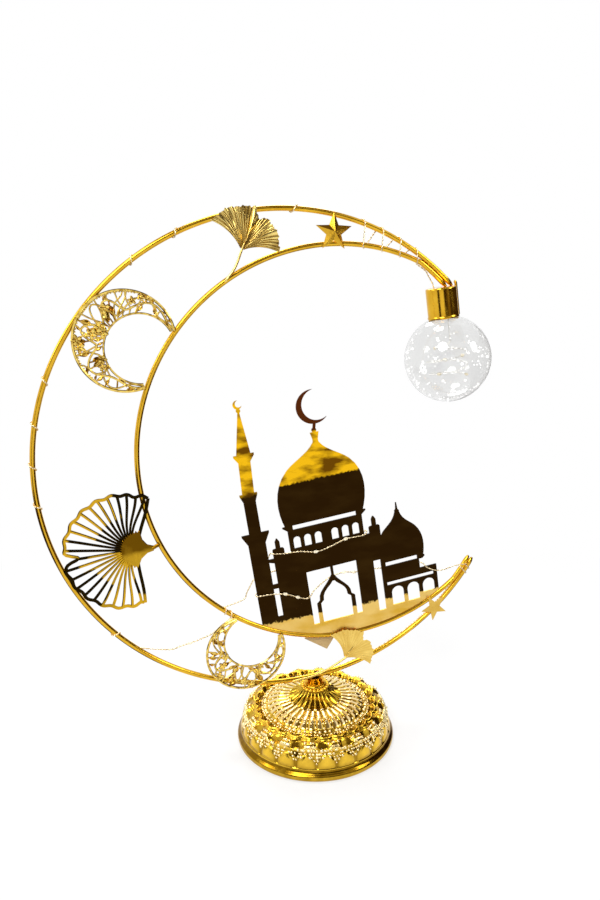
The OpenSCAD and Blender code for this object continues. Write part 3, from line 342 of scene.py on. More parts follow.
def band_tree():
    """A flat strip with bevelled edges that lies in the plane of its path."""
    tree, given = new_tree("flat_band", Width="Float", Thickness="Float")
    path = node(tree, "GeometryNodeMeshToCurve", {"Mesh": given["Geometry"]})
    level = node(tree, "GeometryNodeSetCurveNormal", {"Curve": path}, mode="Z_UP")
    eight = node(tree, "GeometryNodeCurvePrimitiveCircle", {"Resolution": 8, "Radius": 0.54})
    flat = node(tree, "GeometryNodeTransform", {"Geometry": eight, "Rotation": (0, 0, math.pi / 8)})
    size = node(tree, "ShaderNodeCombineXYZ", {"X": given["Width"], "Y": given["Thickness"], "Z": 1.0})
    section = node(tree, "GeometryNodeTransform", {"Geometry": flat, "Scale": size})
    return end_strand(tree, given, level, section)


def spots_tree():
    tree, given = new_tree("set_on_spots", Shape="Object")
    shape = node(tree, "GeometryNodeObjectInfo", {"Object": given["Shape"], "As Instance": True})
    turn = named(tree, "turn", "FLOAT_VECTOR")
    return end_tree(tree, given, node(tree, "GeometryNodeInstanceOnPoints", {
        "Points": given["Geometry"], "Instance": shape.outputs["Geometry"],
        "Rotation": node(tree, "FunctionNodeEulerToRotation", {"Euler": turn}),
        "Scale": named(tree, "size", "FLOAT_VECTOR")}))


def meshed(name, points, edges, faces):
    mesh = bpy.data.meshes.new(name)
    mesh.from_pydata(np.asarray(points, float).tolist(), edges, faces)
    return added(name, mesh)


def set_values(mesh, name, kind, values):
    field = "value" if kind == "FLOAT" else "vector"
    mesh.attributes.new(name, kind, "POINT").data.foreach_set(field, np.array(values, float).ravel())


def run_tree(holder, tree, **inputs):
    """The tree's result as a plain shape; the holder and its modifier go."""
    modifier = holder.modifiers.new("make", "NODES")
    modifier.node_group = tree
    for socket in tree.interface.items_tree:
        if socket.in_out == "INPUT" and socket.name in inputs:
            modifier[socket.identifier] = inputs[socket.name]
    made = bpy.data.meshes.new_from_object(holder.evaluated_get(bpy.context.evaluated_depsgraph_get()))
    holder.modifiers.remove(modifier)
    bpy.data.objects.remove(holder)
    points = np.empty(len(made.vertices) * 3)
    made.vertices.foreach_get("co", points)
    faces = [list(face.vertices) for face in made.polygons]
    bpy.data.meshes.remove(made)
    return points.reshape(-1, 3), faces, 1.0


def along_paths(paths, tree, round_ends, **inputs):
    """A tree's strand along each path; a path may carry its own girths as a second value."""
    points, edges, girths = [], [], []
    for path in paths:
        path, girth = path if isinstance(path, tuple) else (path, np.ones(len(path)))
        girth = np.array(girth, float)
        if round_ends:
            for k, share in enumerate(END_GIRTHS):
                girth[[k, -1 - k]] *= share
        start = len(points)
        points.extend(path)
        edges.extend((k, k + 1) for k in range(start, len(points) - 1))
        girths.extend(girth)
    holder = meshed("carrier", points, edges, [])
    set_values(holder.data, "girth", "FLOAT", girths)
    return run_tree(holder, tree, **inputs)


def wires(paths, diameter, finish, sides, round_ends=False):
    return along_paths(paths, WIRE_TREE, round_ends, Diameter=diameter, Sides=sides, Finish=finish)


def bands(paths, width, thickness, finish, round_ends=False):
    return along_paths(paths, BAND_TREE, round_ends, Width=width, Thickness=thickness, Finish=finish)


def on_spots(template, spots, turns, sizes, finish):
    """Copies of a small shape on spots, each with its own turn and size."""
    shape = meshed("template", template[0], [], template[1])
    holder = meshed("carrier", spots, [], [])
    set_values(holder.data, "turn", "FLOAT_VECTOR", turns)
    set_values(holder.data, "size", "FLOAT_VECTOR", sizes)
    made = run_tree(holder, SPOTS_TREE, Shape=shape, Finish=finish)
    bpy.data.objects.remove(shape)
    return made


def facing(normal):
    """The turn that stands a shape's z along a normal."""
    return Vector(normal).to_track_quat("Z", "Y").to_matrix().to_euler()


def leaned(points):
    """From the crescent's own frame to the lantern's."""
    x, y, z = np.asarray(points, float).T
    return RING_MIDDLE + np.stack([x * cosd(LEAN) - y * sind(LEAN), -z, x * sind(LEAN) + y * cosd(LEAN)], -1)


def upright(points, height):
    """From a turned shape's own frame to its place on the bulb's axis."""
    x, y, z = np.asarray(points, float).T
    return leaned(np.stack([CAP_X + x, height + z, -y], -1))


def finish_piece(name, shape, finish, stands_for, sharp=None, place=leaned, body="crescent"):
    """A piece of the visual model, placed on its body and standing for solids of the part."""
    points, faces, relief = joined(shape) if isinstance(shape, list) else shape
    made = meshed(name, place(points) * MM, [], faces)
    mesh = made.data
    set_values(mesh, "relief", "FLOAT", np.broadcast_to(relief, len(points)))
    mesh.polygons.foreach_set("use_smooth", [True] * len(faces))
    if sharp:
        mesh.set_sharp_from_angle(angle=math.radians(sharp))
    mesh.materials.append(finish)
    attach(made, body)
    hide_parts(*stands_for)


# Shader groups: each gives a colour, a roughness and a height for bump
def shader_group(name, colours, values):
    tree = bpy.data.node_groups.new(name, "ShaderNodeTree")
    for label in colours + values:
        kind = "NodeSocketColor" if label in colours else "NodeSocketFloat"
        tree.interface.new_socket(label, in_out="INPUT", socket_type=kind)
    for label, kind in (("Color", "NodeSocketColor"), ("Roughness", "NodeSocketFloat"),
                        ("Height", "NodeSocketFloat")):
        tree.interface.new_socket(label, in_out="OUTPUT", socket_type=kind)
    return tree, tree.nodes.new("NodeGroupInput").outputs, tree.nodes.new("NodeGroupOutput").inputs


def mixed(tree, factor, a, b):
    made = node(tree, "ShaderNodeMix", data_type="RGBA")
    sockets = {socket.identifier: socket for socket in made.inputs}
    plug(tree, sockets, {"Factor_Float": factor, "A_Color": a, "B_Color": b})
    return next(socket for socket in made.outputs if socket.identifier == "Result_Color")


def ranged(tree, value, low, high, to_low=0.0, to_high=1.0):
    return node(tree, "ShaderNodeMapRange", {
        "Value": value, "From Min": low, "From Max": high, "To Min": to_low, "To Max": to_high})


def noise(tree, scale, detail=2.0, place=None, rough=0.5):
    spot = place or node(tree, "ShaderNodeTexCoord").outputs["Object"]
    return node(tree, "ShaderNodeTexNoise", {
        "Vector": spot, "Scale": scale, "Detail": detail, "Roughness": rough}).outputs["Fac"]


def roughness(tree, given, share):
    span = calc(tree, "SUBTRACT", given["Roughest"], given["Smoothest"])
    return calc(tree, "MULTIPLY_ADD", share, span, given["Smoothest"])


def plating_group():
    """Plated metal: cloudy tone, painted shade in hollows, painted highlights on crests, a fine grain and
    faint handling marks.
    """
    tree, given, out = shader_group("plating", ["Bright", "Deep", "Crest Highlight"], [
        "Cloud Scale", "Cloud Amount", "Cloud Blur", "Hollow Shade Amount", "Grain Scale", "Smoothest",
        "Roughest"])
    low = calc(tree, "SUBTRACT", 0.52, given["Cloud Blur"])
    high = calc(tree, "ADD", 0.52, given["Cloud Blur"])
    cloud = ranged(tree, noise(tree, given["Cloud Scale"], 3.0), low, high)
    relief = node(tree, "ShaderNodeAttribute", attribute_name="relief").outputs["Fac"]
    # Painted shade: hollows of the relief tone go towards the deep colour; crests above 1 get a pale painted
    # highlight.
    hollow_shade = calc(tree, "SUBTRACT", 1.0, relief, clamp=True)
    crest_highlight = calc(tree, "SUBTRACT", relief, 1.0, clamp=True)
    painted_hollow_shade = calc(tree, "MULTIPLY", hollow_shade, given["Hollow Shade Amount"])
    tone = calc(tree, "MULTIPLY_ADD", cloud, given["Cloud Amount"], painted_hollow_shade, clamp=True)
    marks = ranged(tree, noise(tree, 240.0, 6.0, rough=0.7), 0.45, 0.75)
    cloud_and_shade = mixed(tree, tone, given["Bright"], given["Deep"])
    plug(tree, out, {"Color": mixed(tree, crest_highlight, cloud_and_shade, given["Crest Highlight"]),
                     "Roughness": roughness(tree, given, marks),
                     "Height": noise(tree, given["Grain Scale"])})
    return tree


def moulded_group():
    """Moulded plastic and rubber: a slight tone drift, a satin grain and dust."""
    tree, given, out = shader_group("moulded", ["Main", "Dusty"], ["Dust Amount", "Smoothest", "Roughest"])
    spread = ranged(tree, noise(tree, 130.0, 5.0, rough=0.65), 0.4, 0.8)
    dust = calc(tree, "MULTIPLY", spread, given["Dust Amount"])
    grain = noise(tree, 1800.0, 1.0)
    plug(tree, out, {"Color": mixed(tree, dust, given["Main"], given["Dusty"]),
                     "Roughness": roughness(tree, given, grain), "Height": grain})
    return tree


def material(name):
    made = bpy.data.materials.new(name)
    made.use_nodes = True
    return made, made.node_tree, made.node_tree.nodes["Principled BSDF"].inputs


def bump(tree, height, strength, distance):
    return node(tree, "ShaderNodeBump", {"Strength": strength, "Distance": distance, "Height": height})


def grouped(name, group, bump_size, values, more):
    """A finish whose colour, roughness and grain come from a shader group."""
    made, tree, shader = material(name)
    part = node(tree, "ShaderNodeGroup", values, node_tree=group).outputs
    plug(tree, shader, {"Base Color": part["Color"], "Roughness": part["Roughness"],
                        "Normal": bump(tree, part["Height"], *bump_size), **more})
    return made


# The hollow amount paints shade into the relief tone's hollows, and the pale colour paints a highlight on
# its crests.
def plated(name, bright, deep, smoothest, roughest, cloud=0.5, hollow_shade=0.0, cloud_scale=90.0, grain=0.15,
           blur=0.18, grain_scale=2500.0, depth=0.0002, pale=None):
    return grouped(name, PLATING, (grain, depth), {
        "Bright": (*bright, 1), "Deep": (*deep, 1), "Crest Highlight": (*(pale or bright), 1), "Smoothest": smoothest,
        "Roughest": roughest, "Cloud Amount": cloud, "Hollow Shade Amount": hollow_shade, "Cloud Scale": cloud_scale,
        "Cloud Blur": blur, "Grain Scale": grain_scale}, {"Metallic": 1.0})


def moulded(name, main, dusty, smoothest, roughest, dust=0.25, coat=0.0):
    return grouped(name, MOULDED, (0.2, 0.0002), {
        "Main": (*main, 1), "Dusty": (*dusty, 1), "Smoothest": smoothest, "Roughest": roughest,
        "Dust Amount": dust}, {"Coat Weight": coat})


# Where the mosque plate's painted reflections change, from the middle of the inner ring
MINARET_SIDE = -49.0
MOON_FOOT = 18.0
DOME_FOOT = -15.5
SPIRE_FOOT = -17.0
PALE_TOP = 18.6 - BED_R


def mirror_finish():
    """The mosque's gold mirror plate with its reflections painted in: a dark body and moon, a gold dome and
    spire with dark blotches, pale gold along its foot.
    """
    made, tree, shader = material("mosque_mirror")
    spot = node(tree, "ShaderNodeTexCoord").outputs["Object"]
    middle = leaned([[RING_OFFSET, 0, 0]])[0] * MM
    local = node(tree, "ShaderNodeVectorMath", {0: spot, 1: tuple(middle)}, operation="SUBTRACT")

    def along(*direction):
        dot = node(tree, "ShaderNodeVectorMath", {0: local, 1: direction}, operation="DOT_PRODUCT")
        return calc(tree, "MULTIPLY", dot.outputs["Value"], 1 / MM)

    def sum_of(a, b, factor=1.0):
        return calc(tree, "MULTIPLY_ADD", b, factor, a)

    def above(value, edge, blur):
        return ranged(tree, value, edge - blur, edge + blur)

    def without(a, b):
        return calc(tree, "SUBTRACT", a, b, clamp=True)

    across = along(cosd(LEAN), 0, sind(LEAN))
    up = along(-sind(LEAN), 0, cosd(LEAN))
    ragged = noise(tree, 420.0, 3.0)
    stretched = node(tree, "ShaderNodeMapping", {"Vector": spot, "Scale": (0.5, 1.0, 1.3)}).outputs[0]
    broad = noise(tree, 75.0, 5.0, stretched)
    wavy_up = sum_of(up, sum_of(ragged, -0.5), 4.0)
    on_minaret = ranged(tree, across, MINARET_SIDE + 1, MINARET_SIDE - 1)
    on_moon = above(up, MOON_FOOT, 0.5)
    dome_gold = without(without(above(wavy_up, DOME_FOOT, 0.6), on_moon), on_minaret)
    spire_gold = calc(tree, "MULTIPLY", on_minaret, above(wavy_up, SPIRE_FOOT, 1.5), clamp=True)
    gold_part = calc(tree, "MAXIMUM", dome_gold, spire_gold)
    low_up = sum_of(sum_of(wavy_up, ragged, 1.5), across, 0.05)
    foot_part = ranged(tree, low_up, PALE_TOP + 1.2, PALE_TOP + 0.2)

    def patchy(low, high, one, other):
        return mixed(tree, ranged(tree, broad, low, high), (*one, 1), (*other, 1))

    # Painted reflections: dark for the body, blotched gold for the dome and spire, pale gold for the foot,
    # dark red-brown for the moon.
    body = patchy(0.45, 0.75, (0.022, 0.0092, 0.0016), (0.034, 0.016, 0.003))
    gold = patchy(0.46, 0.6, (0.93, 0.52, 0.009), (0.15, 0.06, 0.002))
    foot = patchy(0.4, 0.68, (0.88, 0.6, 0.17), (0.74, 0.44, 0.05))
    moon = mixed(tree, on_moon, body, (0.09, 0.021, 0.004, 1))
    rubbed = ranged(tree, noise(tree, 320.0, 6.0, rough=0.7), 0.45, 0.8, 0.08, 0.22)
    plug(tree, shader, {"Base Color": mixed(tree, foot_part, mixed(tree, gold_part, moon, gold), foot),
                        "Roughness": sum_of(rubbed, foot_part, 0.3), "Metallic": 1.0,
                        "Normal": bump(tree, noise(tree, 60.0), 0.1, 0.0006)})
    return made


def globe_finish():
    """Clear moulded plastic with faint flow marks."""
    made, tree, shader = material("globe_clear")
    flow = noise(tree, 45.0)
    tone = mixed(tree, ranged(tree, flow, 0.4, 0.7), (0.897, 0.897, 0.892, 1), (0.867, 0.867, 0.867, 1))
    rubbed = ranged(tree, noise(tree, 300.0, 5.0, rough=0.7), 0.5, 0.8, 0.02, 0.12)
    plug(tree, shader, {"Base Color": tone, "Roughness": rubbed, "Normal": bump(tree, flow, 0.06, 0.0006),
                        "Transmission Weight": 1.0, "IOR": 1.46})
    return made


def resin_finish(name, pale, deep, glow):
    made, tree, shader = material(name)
    tone = mixed(tree, ranged(tree, noise(tree, 900.0), 0.35, 0.7), (*pale, 1), (*deep, 1))
    rubbed = ranged(tree, noise(tree, 500.0), 0.3, 0.7, 0.05, 0.15)
    # Emission paints a glow on the part: faint on the string's drops and full on the globe's glints.
    plug(tree, shader, {"Base Color": tone, "Emission Color": tone, "Emission Strength": glow,
                        "Roughness": rubbed, "Coat Weight": 0.6})
    return made


PLATING = plating_group()
MOULDED = moulded_group()
WIRE_TREE = wire_tree()
BAND_TREE = band_tree()
SPOTS_TREE = spots_tree()
ROD_GOLD = plated("rod_gold", (0.8, 0.47, 0.034), (0.5, 0.24, 0.008), 0.08, 0.2)
# Cast gold: full painted shade in hollows and a pale painted highlight on crests.
CAST_GOLD = plated("cast_gold", (0.95, 0.6, 0.055), (0.22, 0.11, 0.004), 0.1, 0.24, cloud=0.25, hollow_shade=1.0,
                   cloud_scale=140.0, pale=(1.0, 0.88, 0.58))
# Grain gold is a paler copy of the cast gold: a painted glint on every grain.
PALE_GLINT_GOLD = plated("grain_glint_gold", (1.0, 0.86, 0.5), (0.92, 0.62, 0.16), 0.1, 0.22, cloud=0.4, hollow_shade=0.2,
                    cloud_scale=140.0)
# Openwork gold: painted shade on the low parts of the openwork.
OPENWORK_GOLD = plated("openwork_gold", (1.0, 0.74, 0.18), (0.3, 0.14, 0.006), 0.1, 0.22, cloud=0.25,
                       hollow_shade=0.9, cloud_scale=160.0, grain=0.25, grain_scale=420.0, depth=0.0004)
# Leaf gold: painted shade between the top leaf's ribs and a painted highlight on its fold.
LEAF_GOLD = plated("leaf_gold", (1.0, 0.76, 0.24), (0.28, 0.14, 0.008), 0.16, 0.34, cloud=0.35, hollow_shade=0.9,
                   cloud_scale=120.0, grain=0.3)
# Pale gold: half-strength painted shade between the lower leaf's ribs and a painted highlight on its fold.
PALE_GOLD = plated("pale_gold", (0.93, 0.66, 0.17), (0.62, 0.36, 0.05), 0.18, 0.34, cloud=0.4, hollow_shade=0.5,
                   cloud_scale=110.0, grain=0.25)
STAR_GOLD = plated("star_gold", (0.78, 0.46, 0.04), (0.38, 0.19, 0.008), 0.1, 0.24, cloud_scale=130.0)
# Painted reflections on the open leaf's bars: bright gold and near-black by zone.
REFLECTION_GOLD = plated("painted_reflection_gold", (0.66, 0.38, 0.018), (0.016, 0.009, 0.001), 0.08, 0.2, cloud=0.3,
                     hollow_shade=1.0, cloud_scale=60.0, grain=0.1, blur=0.05)
# Hub gold: painted shade on the hub's upper part.
HUB_GOLD = plated("hub_gold", (0.62, 0.36, 0.02), (0.15, 0.07, 0.002), 0.16, 0.34, cloud=0.35, hollow_shade=0.9,
                  cloud_scale=150.0, grain=0.3)
MIRROR = mirror_finish()
GLOBE_CLEAR = globe_finish()
# The resin drops glow faintly: painted glow.
RESIN = resin_finish("resin_drop", (0.95, 0.88, 0.7), (0.85, 0.7, 0.42), 0.12)
# Painted glints: white beads that glow at full strength.
GLINT_GLOW = resin_finish("painted_glint_white", (1.0, 1.0, 1.0), (0.95, 0.95, 0.93), 1.0)
WIRE_PINK = plated("wire_pink", (0.98, 0.84, 0.55), (0.8, 0.58, 0.3), 0.15, 0.3, cloud=0.6,
                   cloud_scale=200.0)
WIRE_SILVER = plated("wire_silver", (0.93, 0.92, 0.9), (0.78, 0.76, 0.72), 0.12, 0.28, cloud=0.6,
                     cloud_scale=200.0)
STEEL = plated("zinc_steel", (0.72, 0.72, 0.7), (0.45, 0.44, 0.42), 0.2, 0.42)
WHITE = moulded("white_plastic", (0.84, 0.84, 0.81), (0.62, 0.58, 0.5), 0.3, 0.5)
BLACK = moulded("black_plastic", (0.022, 0.022, 0.024), (0.09, 0.085, 0.08), 0.32, 0.55, dust=0.4)
RUBBER = moulded("foot_rubber", (0.03, 0.03, 0.031), (0.12, 0.11, 0.1), 0.6, 0.85, dust=0.5)
TAN = moulded("tan_strip", (0.6, 0.42, 0.19), (0.5, 0.34, 0.15), 0.5, 0.75, dust=0.8)
FOAM = moulded("foam_pad", (0.85, 0.84, 0.8), (0.65, 0.6, 0.5), 0.7, 0.9, dust=0.4)
SLEEVE = moulded("cell_sleeve", (0.05, 0.16, 0.09), (0.1, 0.2, 0.14), 0.2, 0.4, dust=0.3, coat=0.4)
LEAD_RED = moulded("lead_red", (0.42, 0.02, 0.015), (0.3, 0.08, 0.06), 0.3, 0.5, dust=0.4)


# Stage: pale floor, soft boxes, and dark screens that only reflections see
def emission(name, color):
    made, tree, _ = material(name)
    tree.nodes.clear()
    glow = node(tree, "ShaderNodeEmission", {"Color": (*color, 1), "Strength": 1.0})
    node(tree, "ShaderNodeOutputMaterial", {"Surface": glow})
    return made


def seen_white(tree):
    """1 for rays from the camera, from metal and through glass."""
    path = node(tree, "ShaderNodeLightPath").outputs
    direct = calc(tree, "MAXIMUM", path["Is Camera Ray"], path["Is Glossy Ray"])
    return calc(tree, "MAXIMUM", direct, path["Is Transmission Ray"])


def oblong(low, high):
    """The corners of a level or upright rectangle, from two opposite ones."""
    first = next(k for k in range(3) if low[k] != high[k])
    second, fourth = list(low), list(high)
    second[first], fourth[first] = high[first], low[first]
    return [low, second, high, fourth]


def stage_plane(name, corners, finish):
    made = meshed(name, np.array(corners) * MM, [], [list(range(len(corners)))])
    made.data.materials.append(finish)
    return made


def screen(name, corners, finish):
    made = stage_plane(name, corners, finish)
    made.visible_camera = False
    made.visible_diffuse = False
    made.visible_transmission = False
    made.visible_shadow = False
    made.visible_volume_scatter = False


def set_stage():
    floor, tree, shader = material("pale_floor")
    plug(tree, shader, {"Base Color": (0.95, 0.95, 0.95, 1), "Roughness": 0.9})
    glow = node(tree, "ShaderNodeEmission", {"Color": (1, 1, 1, 1), "Strength": 1.0})
    spot = node(tree, "ShaderNodeTexCoord").outputs["Object"]
    away = node(tree, "ShaderNodeVectorMath", {0: spot}, operation="LENGTH").outputs["Value"]
    share = calc(tree, "MULTIPLY", seen_white(tree), ranged(tree, away, 0.1, 0.5, 0.62, 1.0))
    both = node(tree, "ShaderNodeMixShader", {0: share, 1: tree.nodes["Principled BSDF"], 2: glow})
    plug(tree, tree.nodes["Material Output"].inputs, {"Surface": both})
    wide = 6000
    stage_plane("floor", oblong((-wide, -wide, 0), (wide, wide, 0)), floor)

    world = bpy.data.worlds.new("pale_room")
    world.use_nodes = True
    tree = world.node_tree
    tree.nodes.clear()
    soft = node(tree, "ShaderNodeBackground", {"Color": (1, 1, 1, 1), "Strength": 0.42})
    seen = node(tree, "ShaderNodeBackground", {"Color": (1, 1, 1, 1), "Strength": 1.0})
    both = node(tree, "ShaderNodeMixShader", {0: seen_white(tree), 1: soft, 2: seen})
    node(tree, "ShaderNodeOutputWorld", {"Surface": both})
    scene.world = world


def set_screens():
    """Dark screens, seen by reflections only, that draw dark lines on the rods, beads and cap."""
    dark = emission("dark_screen", (0.05, 0.03, 0.008))
    dim = emission("dim_screen", (0.2, 0.15, 0.08))
    for side, back in ((-1, -650), (1, 700)):
        screen("side_screen", oblong((800 * side, -1100, 0), (800 * side, back, 680)), dark)
        screen("under_screen", oblong((130 * side, -20, 1.5), (335 * side, 180, 1.5)), dark)
        flat = ((340, 500), (795, 500), (795, -1000), (470, -1000), (340, -420))
        screen("floor_screen", [(x * side, y, 1.5) for x, y in flat], dark)
    screen("front_screen", oblong((-900, -1300, 620), (900, -1300, 1150)), dark)
    for low, high, tone in ((-60, 330, dark), (330, 700, dim)):
        screen("cap_screen", oblong((low, -900, 308), (high, -900, 520)), tone)
    screen("top_screen", oblong((-700, -1150, 1500), (700, 250, 1500)), dim)


# Round soft boxes: place, size in metres and watts
LAMPS = {
    "key_box": ((-600, -750, 1050), 0.55, 7.4), "fill_box": ((850, -500, 700), 0.4, 3.2),
    "back_box": ((200, 800, 1000), 0.5, 3.8), "top_box": ((-150, 250, 1300), 0.36, 3.4),
    "left_box": ((-900, 0, 700), 0.3, 1.4)}
LAMP_AIM = (0, 0, 190)


def set_lamps():
    for name, (place, size, watts) in LAMPS.items():
        data = bpy.data.lights.new(name, "AREA")
        data.shape = "DISK"
        data.size = size
        data.energy = watts
        lamp = added(name, data)
        lamp.location = Vector(place) * MM
        aim = Vector(LAMP_AIM) * MM - lamp.location
        lamp.rotation_euler = aim.to_track_quat("-Z", "Y").to_euler()


# Base: a plain lip, petals, grains around dishes, a scalloped edge, ribs and a fluted neck
DISHES = 18
DISH_R = 49.4
DISH_HALF_W = 4.6
DISH_HALF_L = 2.6
DISH_DEPTH = 0.7
MOUND_H = 1.7
PETAL_H = 9.5
SCALLOPS = 26
SCALLOP_R = 41.9
SCALLOP_REACH = 2.7
BORDER_H = 2.3
POCKET_DEPTH = 1.4
RIBS = 36
TIER_Z = SHOULDER_H - 0.8
CONE_R = 19.0
FLUTE_DEPTH = 1.7
LIP_TOP = 8.0
SKIN_STEP = 0.42
SKIN_COLS = 480
GRAIN_Z = 11.5
GRAIN_FULL_Z = 16.6
GRAIN_R = 46.2
GRAIN_ROWS = 1.75
GRAIN_PITCH = 2.05
COLLAR_BEADS = 20
COLLAR_R = 9.3
COLLAR_Z = 38.9


def wave(angles, count, shift=0.0):
    """Where each angle lies between two neighbours of a ring of so many: -0.5 to 0.5."""
    return (angles * count / TURN + shift) % 1.0 - 0.5


def smooth_step(x, low, high):
    t = np.clip((x - low) / (high - low), 0, 1)
    return t * t * (3 - 2 * t)


def hump(x, middle, width):
    return np.exp(-(((x - middle) / width) ** 2))


def shell_section():
    """Outer section rows as radius and height, from the rim's foot over the flange to the mouth."""
    lip = [(56.4, 0.5), (57.4, 0.6), (57.95, 1.3), (58.05, 2.9), (57.75, 3.9), (57.0, 4.7), (56.2, 5.4),
           (55.5, 6.3), (55.3, 7.2), (55.65, 7.6), (55.4, 8.1)]
    side = [(SHOULDER_R + (PETAL_R - SHOULDER_R) * cosd(q), RIM_TOP + (SHOULDER_H - RIM_TOP) * sind(q))
            for q in range(12, 91, 6)]
    tier = [(44.6, 22.9), (42.6, 23.1), (40.0, 23.3), (38.0, 23.7), (36.2, 24.4), (34.0, 25.8), (32.0, 27.0),
            (29.4, 27.9)]
    neck = [(NECK_R + (FLUTE_R - NECK_R) * (1 - sind(q)), FLUTE_H + (NECK_TOP - FLUTE_H) * (1 - cosd(q)))
            for q in range(0, 91, 6)]
    mouth = [(8.3, 40.5), (7.9, 40.95), (7.0, BASE_H), (NECK_HOLE_R, BASE_H)]
    return even_run([(r, z, 0) for r, z in lip + side + tier + neck + mouth], SKIN_STEP)[:, :2]


SECTION = shell_section()
ALONG = directions(SECTION)
NORMALS = np.stack([ALONG[:, 1], -ALONG[:, 0]], -1)
TRAVEL = travelled(SECTION)


def row_at(radius):
    """The section's row on top of the shell at a radius."""
    return int(np.argmin(np.abs(SECTION[:, 0] - radius) + 9 * (SECTION[:, 1] < SHOULDER_H - 2)))


DISH_TRAVEL = TRAVEL[row_at(DISH_R)]


def petal_form(climb, across):
    """A smooth arched petal with a crease around it, over its share of climb and of width."""
    half = 0.46 * np.sqrt(np.clip(1 - np.clip(climb, 0, 1) ** 3, 0, 1))
    u = np.abs(across) / np.maximum(half, 1e-3)
    bulge = 0.75 * np.clip(1 - (u / 0.95) ** 2, 0, 1) * smooth_step(climb, 0.0, 0.35)
    crease = -0.55 * hump(u, 1.02, 0.13)
    return np.where((climb > 0) & (climb < 1), (bulge + crease) * smooth_step(climb, 0, 0.12), 0)


def scallop_place(radius, angle):
    """Shares of 0 to 1 for the tier's scalloped border and for the pockets inside it."""
    bow = np.abs(np.cos(angle * SCALLOPS / 2))
    away = radius - (SCALLOP_R + SCALLOP_REACH * bow**0.6)
    return hump(away, 0, 1.2), hump(away, -2.9, 1.5) * smooth_step(bow, 0.2, 0.8)


def dish_place(row, angle):
    """How far a spot lies from the nearest dish's middle, as a share of the dish."""
    across = wave(angle, DISHES, 0.5) * TURN * DISH_R / DISHES
    return np.hypot(across / DISH_HALF_W, (TRAVEL[row] - DISH_TRAVEL) / DISH_HALF_L)


def shell_relief(row, angle):
    """How far the shell's face stands out or in, for rows of its section and angles."""
    radius, height = SECTION[row, 0], SECTION[row, 1]
    beside = (height < SHOULDER_H - 0.5) & (radius > SHOULDER_R)
    climb = np.where(beside, (height - LIP_TOP) / PETAL_H, 2.0)
    rho = dish_place(row, angle)
    petal = petal_form(climb, wave(angle, PETALS)) * (rho > 1)
    dish = np.where(rho < 1, -DISH_DEPTH * (1 - rho**2), 0)
    apart = np.abs(TRAVEL[row] - DISH_TRAVEL) / (DISH_HALF_L * 1.5)
    mound = MOUND_H * smooth_step(rho, 0.85, 1.5) * np.clip(1 - apart**2, 0, 1)
    border, pocket = scallop_place(radius, angle)
    scallop = (BORDER_H * border - POCKET_DEPTH * pocket) * (height > TIER_Z)
    tier = smooth_step(radius, CONE_R, 20.5) * (1 - smooth_step(radius, 34.6, 36.0))
    ribs = tier * (np.abs(np.cos(angle * RIBS / 2)) ** 0.5 - 0.6)
    cone = (radius < CONE_R + 0.6) * smooth_step(radius, 8.2, 10.0)
    flutes = cone * (0.6 + 0.4 * smooth_step(radius, 9, 16)) * FLUTE_DEPTH * (
        np.abs(np.cos(angle * FLUTES / 2)) ** 1.5 - 0.45)
    return petal + dish + mound + scallop + np.where(height > SHOULDER_H, ribs + flutes, 0)


def shell_tone(rows, angles, relief):
    """How bright each spot of the cast face is painted: painted highlights on crests, painted shade in
    hollows, dishes, pockets and between the cone's flutes, and painted reflection bands on the rim.
    """
    radius, height = SECTION[rows, 0], SECTION[rows, 1]
    tone = np.where(dish_place(rows, angles) < 1, 0.42, np.clip(0.55 + relief * 0.6, 0.2, 1.5))
    border, pocket = scallop_place(radius, angles)
    edge = np.clip(0.6 + 0.5 * border - 0.9 * pocket, 0.05, 1)
    tone = np.where((height > TIER_Z) & (radius > 38.6), edge, tone)
    tone = np.where(radius < 36.5, np.clip(0.75 + relief * 2.2, 0.1, 1.8), tone)
    tone = np.where(radius < CONE_R, np.clip(0.35 + relief * 0.6, 0, 1), tone)
    tone = np.where(radius < NECK_R, 0.85, tone)
    # Painted reflections on the rim: a pale line on top, a dark band below it and a middling band at the
    # foot.
    flange = np.where(height > 7.3, 0.8, np.where(height > 3.8, 0.15, 0.48))
    return np.where((height < LIP_TOP) & (radius > 54.6), flange, tone)


def base_skin():
    rows = np.arange(len(SECTION))[:, None]
    angles = np.linspace(0, TURN, SKIN_COLS, endpoint=False)
    relief = shell_relief(rows, angles[None, :])
    inner = np.array([
        (NECK_HOLE_R, 39.5), (6.9, 39.5), (6.9, 37.0), (10.0, 31.6), (21.0, 27.0), (36.1, 22.0),
        (44.5, 20.5), (50.6, 15.2), (SHELL_INNER_R, LUG_TOP), (SHELL_INNER_R, RIM_LIFT)])
    plain = np.ones((len(inner), SKIN_COLS))
    r = np.concatenate([SECTION[:, :1] + NORMALS[:, :1] * relief, inner[:, :1] * plain])
    z = np.concatenate([np.maximum(SECTION[:, 1:] + NORMALS[:, 1:] * relief, 0.5), inner[:, 1:] * plain])
    # The shell's inside is painted darker, as shade.
    tone = np.concatenate([shell_tone(rows, angles[None, :], relief), plain * 0.4])
    points = np.stack([r * np.cos(angles), r * np.sin(angles), z], -1)
    faces = grid_faces(len(r), SKIN_COLS, wrap_rows=True, wrap_cols=True)
    return outward((points.reshape(-1, 3), faces, tone.ravel()))


